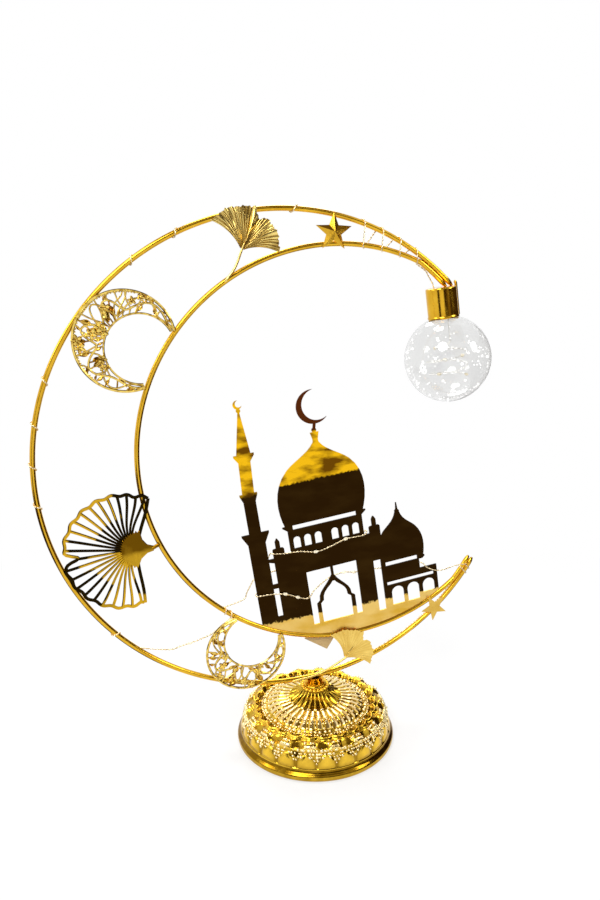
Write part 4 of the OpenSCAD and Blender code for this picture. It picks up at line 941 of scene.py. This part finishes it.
def shell_grains():
    """Round grains: a field around the dishes, rows inside the scalloped edge, drops between ribs."""
    rng = random.Random(7)
    spots, turns, sizes = [], [], []

    def add(row, angle, size, sink):
        (r, z), normal = SECTION[row], NORMALS[row]
        out = np.array([normal[0] * math.cos(angle), normal[0] * math.sin(angle), normal[1]])
        rise = float(shell_relief(np.array(row), np.array(angle))) - size * sink
        spots.append(np.array([r * math.cos(angle), r * math.sin(angle), z]) + out * rise)
        turns.append(facing(out))
        sizes.append([size] * 3)

    last = -9.0
    for row in range(len(SECTION)):
        r, z = SECTION[row]
        if TRAVEL[row] - last < GRAIN_ROWS or not (z > GRAIN_Z and r > GRAIN_R):
            continue
        last = TRAVEL[row]
        count = int(TURN * r / GRAIN_PITCH)
        for j in range(count):
            angle = TURN * (j + 0.8 * rng.random()) / count
            beside = abs(float(wave(np.array(angle), PETALS)))
            free = beside > 0.5 - 0.42 * (z - GRAIN_Z) / 5.5 or z > GRAIN_FULL_Z
            if free and float(dish_place(row, angle)) > 1.05 and rng.random() < 0.88:
                add(row, angle, rng.uniform(0.7, 1.35), rng.uniform(-0.1, 0.4))
    for radius, count, size in ((39.4, 104, 0.85), (37.4, 64, 1.5)):
        for j in range(count):
            angle = TURN * (j + 0.5 * rng.random()) / count
            add(row_at(radius + rng.uniform(-0.3, 0.3)), angle, size * rng.uniform(0.75, 1.15), 0.2)
    for radius, size in ((34.4, 1.1), (31.4, 0.95), (28.2, 0.8)):
        for j in range(RIBS):
            add(row_at(radius + rng.uniform(-0.5, 0.5)), TURN * (j + 0.5) / RIBS, size, 0.0)
    return on_spots(round_bead(), spots, turns, sizes, PALE_GLINT_GOLD)


def collar_beads():
    """The scallops of the neck's collar."""
    angles = [TURN * j / COLLAR_BEADS for j in range(COLLAR_BEADS)]
    spots = [(COLLAR_R * math.cos(a), COLLAR_R * math.sin(a), COLLAR_Z) for a in angles]
    turns = [(0, 0, a) for a in angles]
    return on_spots(round_bead(20, 10), spots, turns, [(1.6, 1.6, 1.2)] * len(angles), CAST_GOLD)


def make_base():
    for name, shape, finish in (("base_skin", [base_skin(), collar_beads()], CAST_GOLD),
                                ("base_grains", shell_grains(), PALE_GLINT_GOLD)):
        finish_piece(name, shape, finish, ["base_shell"], place=np.asarray, body="base")


# Rods of the crescent
def make_rods():
    def top(r):
        return math.degrees(math.asin(CAP_TOP / r))

    outer = arc(OUTER_R, top(OUTER_R), 360 - END_ANGLE)
    inner = arc(SIDE_R, top(SIDE_R), JOIN_ANGLE)[:-1]
    inner += arc(INNER_R, INNER_JOIN_ANGLE, 360 - INNER_JOIN_ANGLE, INNER_MIDDLE)
    inner += arc(SIDE_R, -JOIN_ANGLE, -END_ANGLE)[1:]
    for side, run in (("outer", outer), ("inner", inner)):
        rod = wires([run], ROD_D, ROD_GOLD, 20, round_ends=True)
        finish_piece(side + "_rod", rod, ROD_GOLD, [side + "_ring"], 50)


# Openwork crescents: two rims, two vines that swing between them, twigs, leaves and blossoms
HOLE_SHARE = 0.706
HOLE_SHIFT = 0.326
BAND_END = 140
TWIG_END = 130.0


class OpenBand:
    """The band of an openwork crescent: spots by angle and by share from its inner to its outer edge."""

    def __init__(self, r, place_angle, overhang):
        self.r, self.hole_r, self.shift = r, r * HOLE_SHARE, r * HOLE_SHIFT
        self.middle = polar(OUTER_R + overhang - r, place_angle)
        to_inner = INNER_MIDDLE - self.middle
        self.back = math.degrees(math.atan2(to_inner[1], to_inner[0])) + 180

    def inside(self, a):
        return -self.shift * cosd(a) + math.sqrt(self.hole_r**2 - (self.shift * sind(a)) ** 2)

    def width(self, a):
        return self.r - self.inside(a)

    def spot(self, a, c, lift=0.0):
        p = self.middle + polar(self.inside(a) + self.width(a) * c, a + self.back)
        return np.array([p[0], p[1], ROD_R + 0.5 + lift])

    def strand(self, share, width, thickness):
        """A strip along the band, as far as it stays outside the inner ring."""
        spots = [self.spot(a, share(a)) for a in np.arange(-BAND_END, BAND_END + 0.1, 1.5)]
        return bands([[p for p in spots if outside_ring(p)]], width, thickness, OPENWORK_GOLD)


def outside_ring(p, room=0.0):
    return np.linalg.norm(p[:2] - INNER_MIDDLE) > INNER_R + room


def blossom_petals(middle, size, turn):
    """Spots, turns and sizes of five domed petals around a button."""
    spots = [middle + np.array([*polar(size * 0.58, turn + 72 * k), 0]) for k in range(5)] + [middle]
    turns = [(0, 0, math.radians(turn + 72 * k)) for k in range(5)] + [(0, 0, 0)]
    sizes = [(size * 0.5, size * 0.36, 0.75)] * 5 + [(size * 0.3, size * 0.3, 1.0)]
    return spots, turns, sizes


def low_shade_and_patches(points):
    """Painted shade on the low parts, and darker patches laid out by a wave pattern."""
    x, y, z = points.T
    patch = np.sin(0.9 * x + 1.3 * np.sin(0.7 * y)) * np.sin(0.8 * y + 1.1 * np.sin(0.6 * x))
    return np.clip((z - ROD_R - 0.35) / 0.75, 0, 1) * np.clip(0.9 + 0.7 * patch, 0.3, 1)


def vine_leaf():
    """A pointed leaf with a folded middle and a turned-up edge, from its stalk at the origin along x."""
    fold = ((-1, 0.3), (-0.7, 0.12), (-0.25, 0.2), (0, 0.36), (0.25, 0.2), (0.7, 0.12), (1, 0.3))
    rows = []
    for s in np.linspace(0.02, 0.98, 7):
        half = 0.3 * math.sin(math.pi * s**0.8) + 0.02
        rows.append([[s, half * c, lift] for c, lift in fold])
    return slab(np.array(rows), 0.12)


def openwork(name, r, place_angle, overhang, pitch, beaded, seed):
    """Two vines that swing along a band, with twigs to both edges, cast leaves and blossoms."""
    rng = random.Random(seed)
    band = OpenBand(r, place_angle, overhang)

    def swing(a):
        return 0.5 + 0.27 * sind(180 * a / pitch + 50 * sind(1.7 * a))

    def second(a):
        return 0.5 - 0.38 * sind(180 * a / pitch + 60 + 35 * sind(2.6 * a))

    twigs, leaves, beads = [], [], ([], [], [])
    a = -TWIG_END
    while a < TWIG_END:
        for edge in (0.02, 0.98):
            lean = rng.uniform(-0.42, 0.42) * pitch
            low = rng.choice((-0.45, 0.0, 0.0))
            start, tip = band.spot(a, swing(a), low), band.spot(a + lean, edge, low)
            if outside_ring(start, 0.4) and outside_ring(tip, 0.4):
                middle = band.spot(a + 0.8 * lean, (swing(a) + edge) / 2, low)
                twigs.append(smooth_run([start, middle, tip], 4))
                if band.width(a) > 4 and rng.random() < 0.55:
                    leaves.append((start + (tip - start) * 0.25, start + (tip - start) * 0.85))
        if band.width(a) > 6 and rng.random() < 0.6 and outside_ring(band.spot(a, 0), 1.5):
            middle = band.spot(a, second(a), 0.3)
            for kept, more in zip(beads, blossom_petals(middle, band.width(a) * 0.19, rng.uniform(0, 72))):
                kept.extend(more)
        a += pitch * rng.uniform(0.22, 0.4)
    if beaded:
        row = np.arange(-75, 75.1, 3.4)
        beads[0].extend(band.spot(b, 0.95) for b in row)
        beads[1].extend([(0, 0, 0)] * len(row))
        beads[2].extend([(0.75, 0.75, 0.7)] * len(row))
    turns = [(0, 0, math.atan2(tip[1] - start[1], tip[0] - start[0])) for start, tip in leaves]
    lengths = [np.linalg.norm(tip - start) for start, tip in leaves]
    shapes = [band.strand(lambda b: 1.0, 1.7, 1.2), band.strand(lambda b: 0.0, 1.3, 1.1),
              band.strand(swing, 1.4, 1.1), band.strand(second, 1.1, 1.0),
              bands(twigs, 1.0, 0.9, OPENWORK_GOLD), on_spots(round_bead(), *beads, OPENWORK_GOLD),
              on_spots(vine_leaf(), [start for start, _ in leaves], turns,
                       [(length, length * 0.8, 2.4) for length in lengths], OPENWORK_GOLD)]
    finish_piece(name + "_openwork", toned(shapes, low_shade_and_patches), OPENWORK_GOLD, [name], 24)


# Ginkgo leaves
def fan_r(r, t):
    return r * (1 - 0.16 * hump(t, 0.56, 0.05) - 0.06 * (2 * t - 1) ** 2 + 0.015 * np.cos(t * TURN * 5))


def ginkgo(name, base, foot, bend, r, start, end, ribs, rib_h, curl, trim, finish):
    """A fan of fine uneven ribs with a notch and a folded middle, on a bent stalk that ends on a rod."""
    t = np.linspace(0, 1, 6 * ribs + 1)[None, :]
    s = np.linspace(0.07, 1, 26)[:, None]
    angle = np.radians((start + end) / 2 + (end - start) * (t - 0.5) * (0.62 + 0.38 * s))
    ragged = 0.012 * np.sin(t * TURN * 17 + 1) + 0.008 * np.sin(t * TURN * 29)
    peak = 0.07 * hump(t, 0.47, 0.022) * s**4
    reach = (fan_r(r, t) + r * (ragged + peak)) * s * (1 - trim * smooth_step(t, 0.5, 0.75))
    uneven = t + 0.014 * np.sin(6 * math.pi * t + 0.5) + 0.008 * np.sin(14 * math.pi * t)
    rib = np.abs(np.sin(uneven * math.pi * ribs)) ** 0.7 * rib_h * np.clip(s * 1.6, 0, 1)
    rib = rib * (1 + 0.45 * np.sin(9 * s + 23 * t))
    fold = hump(t, 0.5, 0.04) * curl * np.sin(math.pi * np.clip(s, 0, 0.9))
    bowl = 0.9 * s**2 * np.sin(TURN * t) ** 2
    depth = 0.4
    height = ROD_R + depth + rib + fold + bowl
    front = np.stack(np.broadcast_arrays(
        base[0] + reach * np.cos(angle), base[1] + reach * np.sin(angle), height), -1)
    # Painted shade between the ribs, and a painted highlight along the folded middle.
    tone = np.broadcast_to(rib / rib_h, front.shape[:2]) * 0.8 + 0.7 * fold / curl + 0.15
    mid = (base + foot) / 2 + np.array(bend)
    stalk = smooth_run([(*foot, ROD_R + 0.7), (*mid, ROD_R + 0.7), (*base, ROD_R + 0.8),
                        (*(base + polar(6, (start + end) / 2)), ROD_R + 1.0)], 8)
    shapes = [slab(front, depth, np.clip(tone, 0, 1)),
              wires([(stalk, np.linspace(1, 0.7, len(stalk)))], 1.8, finish, 10, round_ends=True)]
    finish_piece(name + "_fan", shapes, finish, [name], 60)


# Open leaf: angles are from its own direction, and it lies in front of the rods
OPEN_R = 48.5
OPEN_ANGLE = 172
OPEN_SKEW = 0.02
OPEN_FROM = 96
OPEN_TO = -106
OPEN_SLOTS = 22
OPEN_MARGIN = 4
OPEN_PITCH = (OPEN_FROM - OPEN_TO - 2 * OPEN_MARGIN) / OPEN_SLOTS
OPEN_HUB = 10.6
OPEN_RIM_W = 2.2
OPEN_BAR_W = 1.75
OPEN_KNOT_ANGLE = 200.5
OPEN_Z = ROD_R + ORNAMENT_T / 2


def inner_reach(a):
    return RING_OFFSET * cosd(a) + math.sqrt(INNER_R**2 - (RING_OFFSET * sind(a)) ** 2)


OPEN_KNOT = polar(inner_reach(OPEN_KNOT_ANGLE) + 5.5, OPEN_KNOT_ANGLE)
OPEN_MIDDLE = OPEN_KNOT + polar(OPEN_HUB, OPEN_ANGLE)


def lobe_r(t):
    return OPEN_R * (0.79 + 0.167 * max(cosd(t), 0) ** 0.8 - 0.2 * math.exp(-(((t - 3) / 3.4) ** 2))
                     + 0.014 * cosd(t * 360 / 14.2)) * (1 + OPEN_SKEW * sind(t))


def open_spot(r, t):
    return np.array([*(OPEN_MIDDLE + polar(r, t + OPEN_ANGLE)), OPEN_Z])


def painted_reflection_tone(points):
    """Painted reflections on the open leaf: where its bars are painted gold and where dark, by turn and by
    reach from its hub.
    """
    x, y = (points[:, :2] - OPEN_MIDDLE).T
    t = (np.degrees(np.arctan2(y, x)) - OPEN_ANGLE + 180) % 360 - 180
    share = np.hypot(x, y) / np.array([lobe_r(a) for a in t])
    upper = np.where(t < -72, 0.0, np.where(t < -18, share > 0.58, share > 0.93))
    lower = np.where(t < 20, share < 0.8, np.where(t < 56, share < 0.62, (t < 84) | (share > 0.78)))
    return np.where(t < 2, upper, lower).astype(float)


# Painted shade: the hub and its stalk darken towards the upper side.
def hub_painted_shade(points):
    return 1 - smooth_step(points[:, 1] - OPEN_MIDDLE[1], -4.0, 0.0) * 0.95


def open_bars():
    """A scalloped rim, the bars behind it and the two side edges."""
    rim = [open_spot(lobe_r(t) - OPEN_RIM_W / 2, t) for t in np.arange(OPEN_TO, OPEN_FROM + 0.1, 1.5)]
    shares = np.linspace(0, 1, 24)
    bars = []
    for k in range(OPEN_SLOTS + 1):
        t = OPEN_TO + OPEN_MARGIN + OPEN_PITCH * k
        bar = [open_spot(9 + (lobe_r(t) - 10.2) * s, t * (1 - 0.24 * (1 - s) ** 2)) for s in shares]
        bars.append((bar, np.linspace(0.85, 1.1, len(shares))))
    edges = []
    for t in (OPEN_FROM, OPEN_TO):
        r = lobe_r(t)
        edges.append(smooth_run([open_spot(r - OPEN_RIM_W / 2, t), open_spot(r * 0.72, t * 1.01),
                                 open_spot(r * 0.4, t), open_spot(8, t)], 5))
    return [bands(paths, width, ORNAMENT_T, REFLECTION_GOLD) for paths, width in (
        ([rim], OPEN_RIM_W), (bars, OPEN_BAR_W), (edges, OPEN_RIM_W))]


def open_hub():
    """A domed hub that is scalloped between the bars, and its stalk."""
    outline = []
    for t in np.linspace(OPEN_TO, OPEN_FROM, 120):
        scallop = 0.7 * cosd((t - OPEN_TO - OPEN_MARGIN) * 360 / OPEN_PITCH)
        outline.append(polar(12.3 - 2.5 * cosd(t) + scallop, t))
    outline += [(-3.4, 6.5), (-7.5, 2.9), (-11.6, 1.7), (-11.6, -1.7), (-7.5, -3.1), (-4.6, -6.8)]
    turn = np.array([[cosd(OPEN_ANGLE), sind(OPEN_ANGLE)], [-sind(OPEN_ANGLE), cosd(OPEN_ANGLE)]])
    low, high = ROD_R + 0.05, ROD_R + ORNAMENT_T + 0.12
    hub = lofted(np.array(outline) @ turn + OPEN_MIDDLE, OPEN_MIDDLE, [
        (0, low), (0.5, low), (0.98, low), (1, low + 0.3), (1, high - 0.3), (0.96, high), (0.6, high + 0.25),
        (0.3, high + 0.35), (0, high + 0.4)])
    foot = INNER_MIDDLE + polar(INNER_R, 195.2)
    stalk = smooth_run([open_spot(7, 180), open_spot(OPEN_HUB, 180), (*((OPEN_KNOT + foot) / 2), OPEN_Z),
                        (*foot, OPEN_Z)], 6)
    return [hub, bands([stalk], 2.4, 1.5, HUB_GOLD, round_ends=True)]


# Tan strip behind the mosque's foot
TAB_W = 15.5
TAB_L = 20.0
TAB_T = 0.8
TAB_ANGLE = 50
TAB_CORNER = INNER_MIDDLE + np.array([-31.0, -BED_R - 10.8])


def make_tab():
    """A thin strip with its top corner trimmed below the door slots."""
    along = polar(TAB_W, TAB_ANGLE)
    across = polar(TAB_L, TAB_ANGLE + 90)
    top = TAB_CORNER + along + across
    outline = [TAB_CORNER, TAB_CORNER + along, top - across * 0.36, top - along * 0.39, TAB_CORNER + across]
    low, high = -ROD_R - TAB_T, -ROD_R
    strip = lofted(outline, np.mean(outline, axis=0), [
        (0, low), (0.985, low), (1, low + 0.12), (1, high - 0.12), (0.985, high), (0, high)])
    finish_piece("tab_strip", strip, TAN, ["mosque_tab"], 24)


def make_ornaments():
    openwork("filigree_large", 31.0, 132.8, overhang=0, pitch=30.0, beaded=True, seed=3)
    openwork("filigree_small", 27.8, 247.9, overhang=3.4, pitch=32.0, beaded=False, seed=5)
    ginkgo("leaf_top", polar(inner_reach(93.9) + 11, 93.9), INNER_MIDDLE + polar(INNER_R, 116), bend=(1, -1),
           r=27.0, start=128, end=-11, ribs=26, rib_h=0.6, curl=3.0, trim=0.04, finish=LEAF_GOLD)
    ginkgo("leaf_bottom", polar(OUTER_R - 7.6, -83.7), polar(OUTER_R, -98.5), bend=(-0.4, -3.4),
           r=23.4, start=110, end=-29, ribs=18, rib_h=0.12, curl=0.8, trim=0.02, finish=PALE_GOLD)
    # The bars get painted reflections and the hub painted shade, both through the relief tone.
    for name, shapes, tone, finish in (("bars", open_bars(), painted_reflection_tone, REFLECTION_GOLD),
                                       ("hub", open_hub(), hub_painted_shade, HUB_GOLD)):
        finish_piece("leaf_open_" + name, toned(shapes, tone), finish, ["leaf_open"], 24)
    make_tab()


# Bulb
def make_bulb():
    r, h = CAP_R, CAP_H
    bore = CAP_R - CAP_WALL
    roof = CAP_H - CAP_WALL
    cap = [(0, h), (r - 1.3, h), (r - 0.5, h - 0.15), (r - 0.12, h - 0.55), (r, h - 1.2), (r, 2.2),
           (r + 0.08, 1.6), (r + 0.3, 1.3), (r + 0.36, 0.8), (r + 0.25, 0.25), (r - 0.1, 0), (bore, 0.1),
           (bore, roof), (0, roof)]
    finish_piece("cap_turned", turned(cap, 96), ROD_GOLD, ["bulb_cap"], 40,
                 lambda p: upright(p, CAP_BOTTOM))
    neck_l = PLUG_TOP - GLOBE_Y
    neck_in = NECK_OUT_R - GLOBE_WALL
    within = GLOBE_R - GLOBE_WALL

    def ball(radius, neck_r):
        ends = -87, math.degrees(math.acos(neck_r / radius))
        return [(0, -radius)] + [(radius * cosd(a), radius * sind(a)) for a in np.linspace(*ends, 48)]

    mouth = [(NECK_OUT_R, neck_l - 0.3), (NECK_OUT_R - 0.3, neck_l), (neck_in + 0.3, neck_l),
             (neck_in, neck_l - 0.3)]
    globe = turned(ball(GLOBE_R, NECK_OUT_R) + mouth + ball(within, neck_in)[::-1], 96)
    finish_piece("globe_shell", globe, GLOBE_CLEAR, ["bulb_globe"], 40,
                 lambda p: upright(p, GLOBE_Y))


# Light string: behind the outer ring, around both rods at the tips, across the mosque, up the ring
def flat_spot(x, y, z):
    dx, dz = x - RING_MIDDLE[0], z - RING_MIDDLE[2]
    return (dx * cosd(LEAN) + dz * sind(LEAN), dz * cosd(LEAN) - dx * sind(LEAN), -y)


def rod_spot(middle, r, a, phi, off):
    return (*(np.array(middle) + polar(r + off * cosd(phi), a)), off * sind(phi))


def outer_spot(a, phi=270, off=BACK_HUG):
    return rod_spot((0, 0), OUTER_R, a, phi, off)


def back_run(start, end, steps):
    return [outer_spot(start + (end - start) * i / steps) for i in range(steps + 1)]


def rod_turn(a, span):
    return [outer_spot(a + span * (i / 24 - 0.5), 270 - 15 * i, HUG) for i in range(25)]


def pair_spot(a, s, far, near):
    """Around two rods: s counts turns from behind the outer rod over its outside to the front."""
    q = (s - math.floor(s)) * 4
    k = math.floor(q)
    f = q - k
    phi = (-90 + 180 * f, 90, 90 + 180 * f, 270)[k]
    middle = (far, far + (near - far) * f, near, near + (far - near) * f)[k]
    return (*polar(middle + HUG * cosd(phi), a), HUG * sind(phi))


# Across the mosque, from the middle of its foot: in front of the plate, behind it, and with room for a drop
FRONT = MOSQUE_T / 2 + STRING_D / 2 + WIRE_GAP
BACK = -FRONT
DROP = MOSQUE_T / 2 + LED_D / 2 + WIRE_GAP
MINARET_X = -69.0
MINARET_W = 12.4
EDGE = MINARET_X - MINARET_W / 2
MOSQUE_RUN = [(RING_OFFSET + x, y - BED_R, z) for x, y, z in (
    (74, 30.8, HUG), (66, 29.6, 1.8), (60.5, 30.2, FRONT + 0.3), (55.5, 32.6, FRONT + 0.1),
    (52.2, 35.4, FRONT), (51.2, 37.4, 0), (49, 38.8, BACK - 0.1), (45, 39.4, BACK), (32.5, 39.7, BACK),
    (13, 43, BACK), (-2.4, 43.9, -DROP), (-9.7, 45.8, -DROP), (-21, 45, BACK - 0.2), (-31, 40, BACK),
    (-34.8, 37.2, BACK), (-36.2, 36.2, 0), (-37.6, 35.4, FRONT + 0.1), (-41, 34.4, FRONT + 0.1),
    (-47, 37.4, DROP), (-55.5, 42.2, DROP), (-66, 44.3, FRONT), (EDGE + 1.5, 45, FRONT + 0.1),
    (EDGE - 0.6, 45.4, FRONT - 0.3), (EDGE - 1, 45.9, 0), (EDGE - 0.6, 46.5, BACK + 0.3),
    (EDGE + 1.5, 47.5, BACK - 0.1), (-68, 55, BACK), (-64, 68, BACK), (-61.6, 72.6, BACK), (-60.6, 74.2, 0),
    (-59, 73.6, FRONT + 0.1), (-50.7, 72, FRONT), (-40, 70.8, FRONT), (-29, 68.1, DROP), (-17.8, 69, FRONT),
    (-6, 72.2, DROP), (6, 71.4, FRONT), (9.8, 72.4, FRONT + 0.1), (10.6, 74, 0), (9, 73, BACK - 0.1),
    (4, 66, BACK), (-8, 60, BACK), (-28, 59.6, BACK), (-48, 60, BACK), (-66, 60, BACK),
    (EDGE + 1.5, 58.6, BACK - 0.1), (EDGE - 3, 54, BACK - 0.2), (-85, 44, -HUG))]
LEFT_RUN = [(-63.5, -105.6, 0), (-71.4, -109.6, 0), (-80, -111.6, 0.3), (-89.7, -112.9, 0.2),
            (-104, -114.2, -0.6)]
MOSQUE_DROPS = (10, 11, 18, 19, 33, 35)
LEFT_DROPS = (1, 3)
FOOT_DROP_ANGLES = (-80, -70, -60, -50)
RING_DROP_ANGLES = (200, 190, 140, 128, 98, 90, 72)
FOOT_END = -45.4
TIP_FROM = -43.6
TIP_SPAN = 2.2
INNER_TURN = 223.4
TURN_ANGLES = [214, 178, 169, 160, 150, 118, 107, 80]
TURN_SPAN = 2.4
RING_JOIN = 221
HORN_FROM = 64.5
HORN_TO = 47.2
HORN_TURNS = 3.625


def string_route():
    lower = [pair_spot(TIP_FROM + TIP_SPAN * i / 36, i / 24, OUTER_R, SIDE_R) for i in range(37)]
    inner_turn = [rod_spot(INNER_MIDDLE, INNER_R, INNER_TURN + i / 12, 225 - 15 * i, HUG)
                  for i in range(40)]
    ring_run = []
    start = RING_JOIN
    for a in TURN_ANGLES + [None]:
        end = HORN_FROM + 1 if a is None else a + TURN_SPAN
        ring_run += back_run(start, end, max(2, round(abs(start - end) / 5)))
        if a is not None:
            ring_run += rod_turn(a, -TURN_SPAN)
            start = a - TURN_SPAN
    horn = []
    for i in range(round(24 * HORN_TURNS) + 1):
        a = HORN_FROM + (HORN_TO - HORN_FROM) * i / 24 / HORN_TURNS
        horn.append(pair_spot(a, i / 24, OUTER_R, SIDE_R if a < JOIN_ANGLE else inner_reach(a)))
    mouth = [flat_spot(0, 0, LEAD_END_Z + STRING_D), flat_spot(0, 1.2, LEAD_END_Z + 4),
             flat_spot(0.5, 2.3, SEAT_Z - 2.5), flat_spot(2.2, BACK_HUG - 0.3, SEAT_Z + 0.6)]
    cap = [(CAP_X - 10, CAP_TOP + 12.5, 0), (STRING_HOLE_X - 1.6, CAP_TOP + 6, 0)]
    cap += [(STRING_HOLE_X, CAP_TOP + rise, 0) for rise in (2, -2, -7)]
    return ([flat_spot(0, 0, LEAD_END_Z)] + smooth_run(mouth, 2) + back_run(SEAT_ANGLE + 3, FOOT_END, 11)
            + lower + smooth_run(MOSQUE_RUN, 2) + inner_turn + smooth_run(LEFT_RUN, 2) + ring_run + horn
            + smooth_run(cap, 2) + [(STRING_HOLE_X, CAP_TOP - 7 - STRING_D, 0)])


def bulb_spot(t):
    r = GLOBE_R * 0.5 * (0.22 + 0.78 * sind(180 * min(t * 1.1, 0.62)) ** 2)
    a = t * 360 * BULB_LOOPS
    return (CAP_X + r * cosd(a), GLOBE_Y + GLOBE_R * 0.45 - t * GLOBE_R * 0.9, r * sind(a))


def bulb_route():
    x, _, z = bulb_spot(0)
    top = PLUG_TOP - PLUG_H
    steps = 24 * BULB_LOOPS
    return [(x, top, z), (x, top - STRING_D, z)] + [bulb_spot(i / steps) for i in range(steps + 1)]


def twisted_pair(route, finish):
    """Two fine lacquered wires twisted along a route."""
    step, pitch, apart = 0.6, 5.0, 0.24
    points = even_run(smooth_run(route, 3), step)
    side = np.array([0.36, 0.48, 0.8])
    strands = [[], []]
    for k, (p, t) in enumerate(zip(points, directions(points))):
        side = side - np.dot(side, t) * t
        side /= np.linalg.norm(side)
        turn = TURN * k * step / pitch
        off = (side * math.cos(turn) + np.cross(t, side) * math.sin(turn)) * apart
        strands[0].append(p + off)
        strands[1].append(p - off)
    return wires(strands, STRING_D - 0.12, finish, 6)


def globe_specks():
    """Painted glints: small glowing white beads on the inside of the globe's wall."""
    rng = random.Random(11)
    spots, sizes = [], []
    while len(spots) < PAINTED_GLINTS:
        out = Vector((rng.gauss(0, 1), rng.gauss(0, 1), rng.gauss(0, 1))).normalized()
        if out.y < 0.75:
            size = rng.uniform(0.35, 0.6) if rng.random() < 0.65 else rng.uniform(0.65, 1.05)
            spots.append(np.array([CAP_X, GLOBE_Y, 0]) + np.array(out) * (GLOBE_R - GLOBE_WALL - 0.2))
            sizes.append([size] * 3)
    return on_spots(round_bead(), spots, [(0, 0, 0)] * len(spots), sizes, GLINT_GLOW)


def resin_drops(spots, route):
    """Drops of clear resin, longer along the wire that carries them."""
    points = np.asarray(route, float)
    turns = []
    for spot in spots:
        k = int(np.argmin(np.linalg.norm(points - np.array(spot), axis=1)))
        turns.append(facing(points[min(k + 1, len(points) - 1)] - points[max(k - 1, 0)]))
    half = 1.75
    belly = [(sind(a) * (1 - 0.12 * cosd(2 * a)) / 1.12, -half * cosd(a)) for a in range(18, 180, 18)]
    drop = turned([(0, -half), *belly, (0, half)], 14)
    return on_spots(drop, spots, turns, [[LED_D / 2] * 3] * len(spots), RESIN)


def make_strings():
    route = string_route()
    finish_piece("ring_string", twisted_pair(route, WIRE_PINK), WIRE_PINK, ["light_string"])
    spots = [outer_spot(a) for a in FOOT_DROP_ANGLES]
    spots += [MOSQUE_RUN[k] for k in MOSQUE_DROPS] + [LEFT_RUN[k] for k in LEFT_DROPS]
    spots += [outer_spot(a) for a in RING_DROP_ANGLES]
    finish_piece("ring_drops", resin_drops(spots, route), RESIN, ["string_leds"])
    coil = bulb_route()
    strands = twisted_pair(coil, WIRE_SILVER)
    finish_piece("globe_string", strands, WIRE_SILVER, ["bulb_string"])
    drops = resin_drops([bulb_spot((k + 1) / BULB_DROPS) for k in range(BULB_DROPS)], coil)
    finish_piece("globe_drops", drops, RESIN, ["bulb_leds"])
    finish_piece("globe_specks", globe_specks(), GLINT_GLOW, ["bulb_leds"])


# Solids that keep their own shape
CAD_FINISHES = {
    "mosque_plate": MIRROR, "tab_pad": FOAM, "star_upper": STAR_GOLD, "star_lower": PALE_GOLD,
    "cap_hook": ROD_GOLD, "bulb_plug": WHITE, "post": ROD_GOLD, "neck_collar": ROD_GOLD,
    "post_washer": STEEL, "post_nut": STEEL, "shell_lugs": BLACK, "battery_housing": WHITE,
    "housing_screws": STEEL, "rubber_feet": RUBBER, "batteries": SLEEVE, "battery_springs": STEEL,
    "contact_plates": STEEL, "switch_body": BLACK, "lead_wires": LEAD_RED, "battery_door": WHITE,
    "switch_slider": BLACK}


def dress_solids():
    for name, finish in CAD_FINISHES.items():
        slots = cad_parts[name].data.materials
        slots.clear()
        slots.append(finish)


set_camera()
set_stage()
set_screens()
set_lamps()
make_base()
make_rods()
make_ornaments()
make_bulb()
make_strings()
dress_solids()
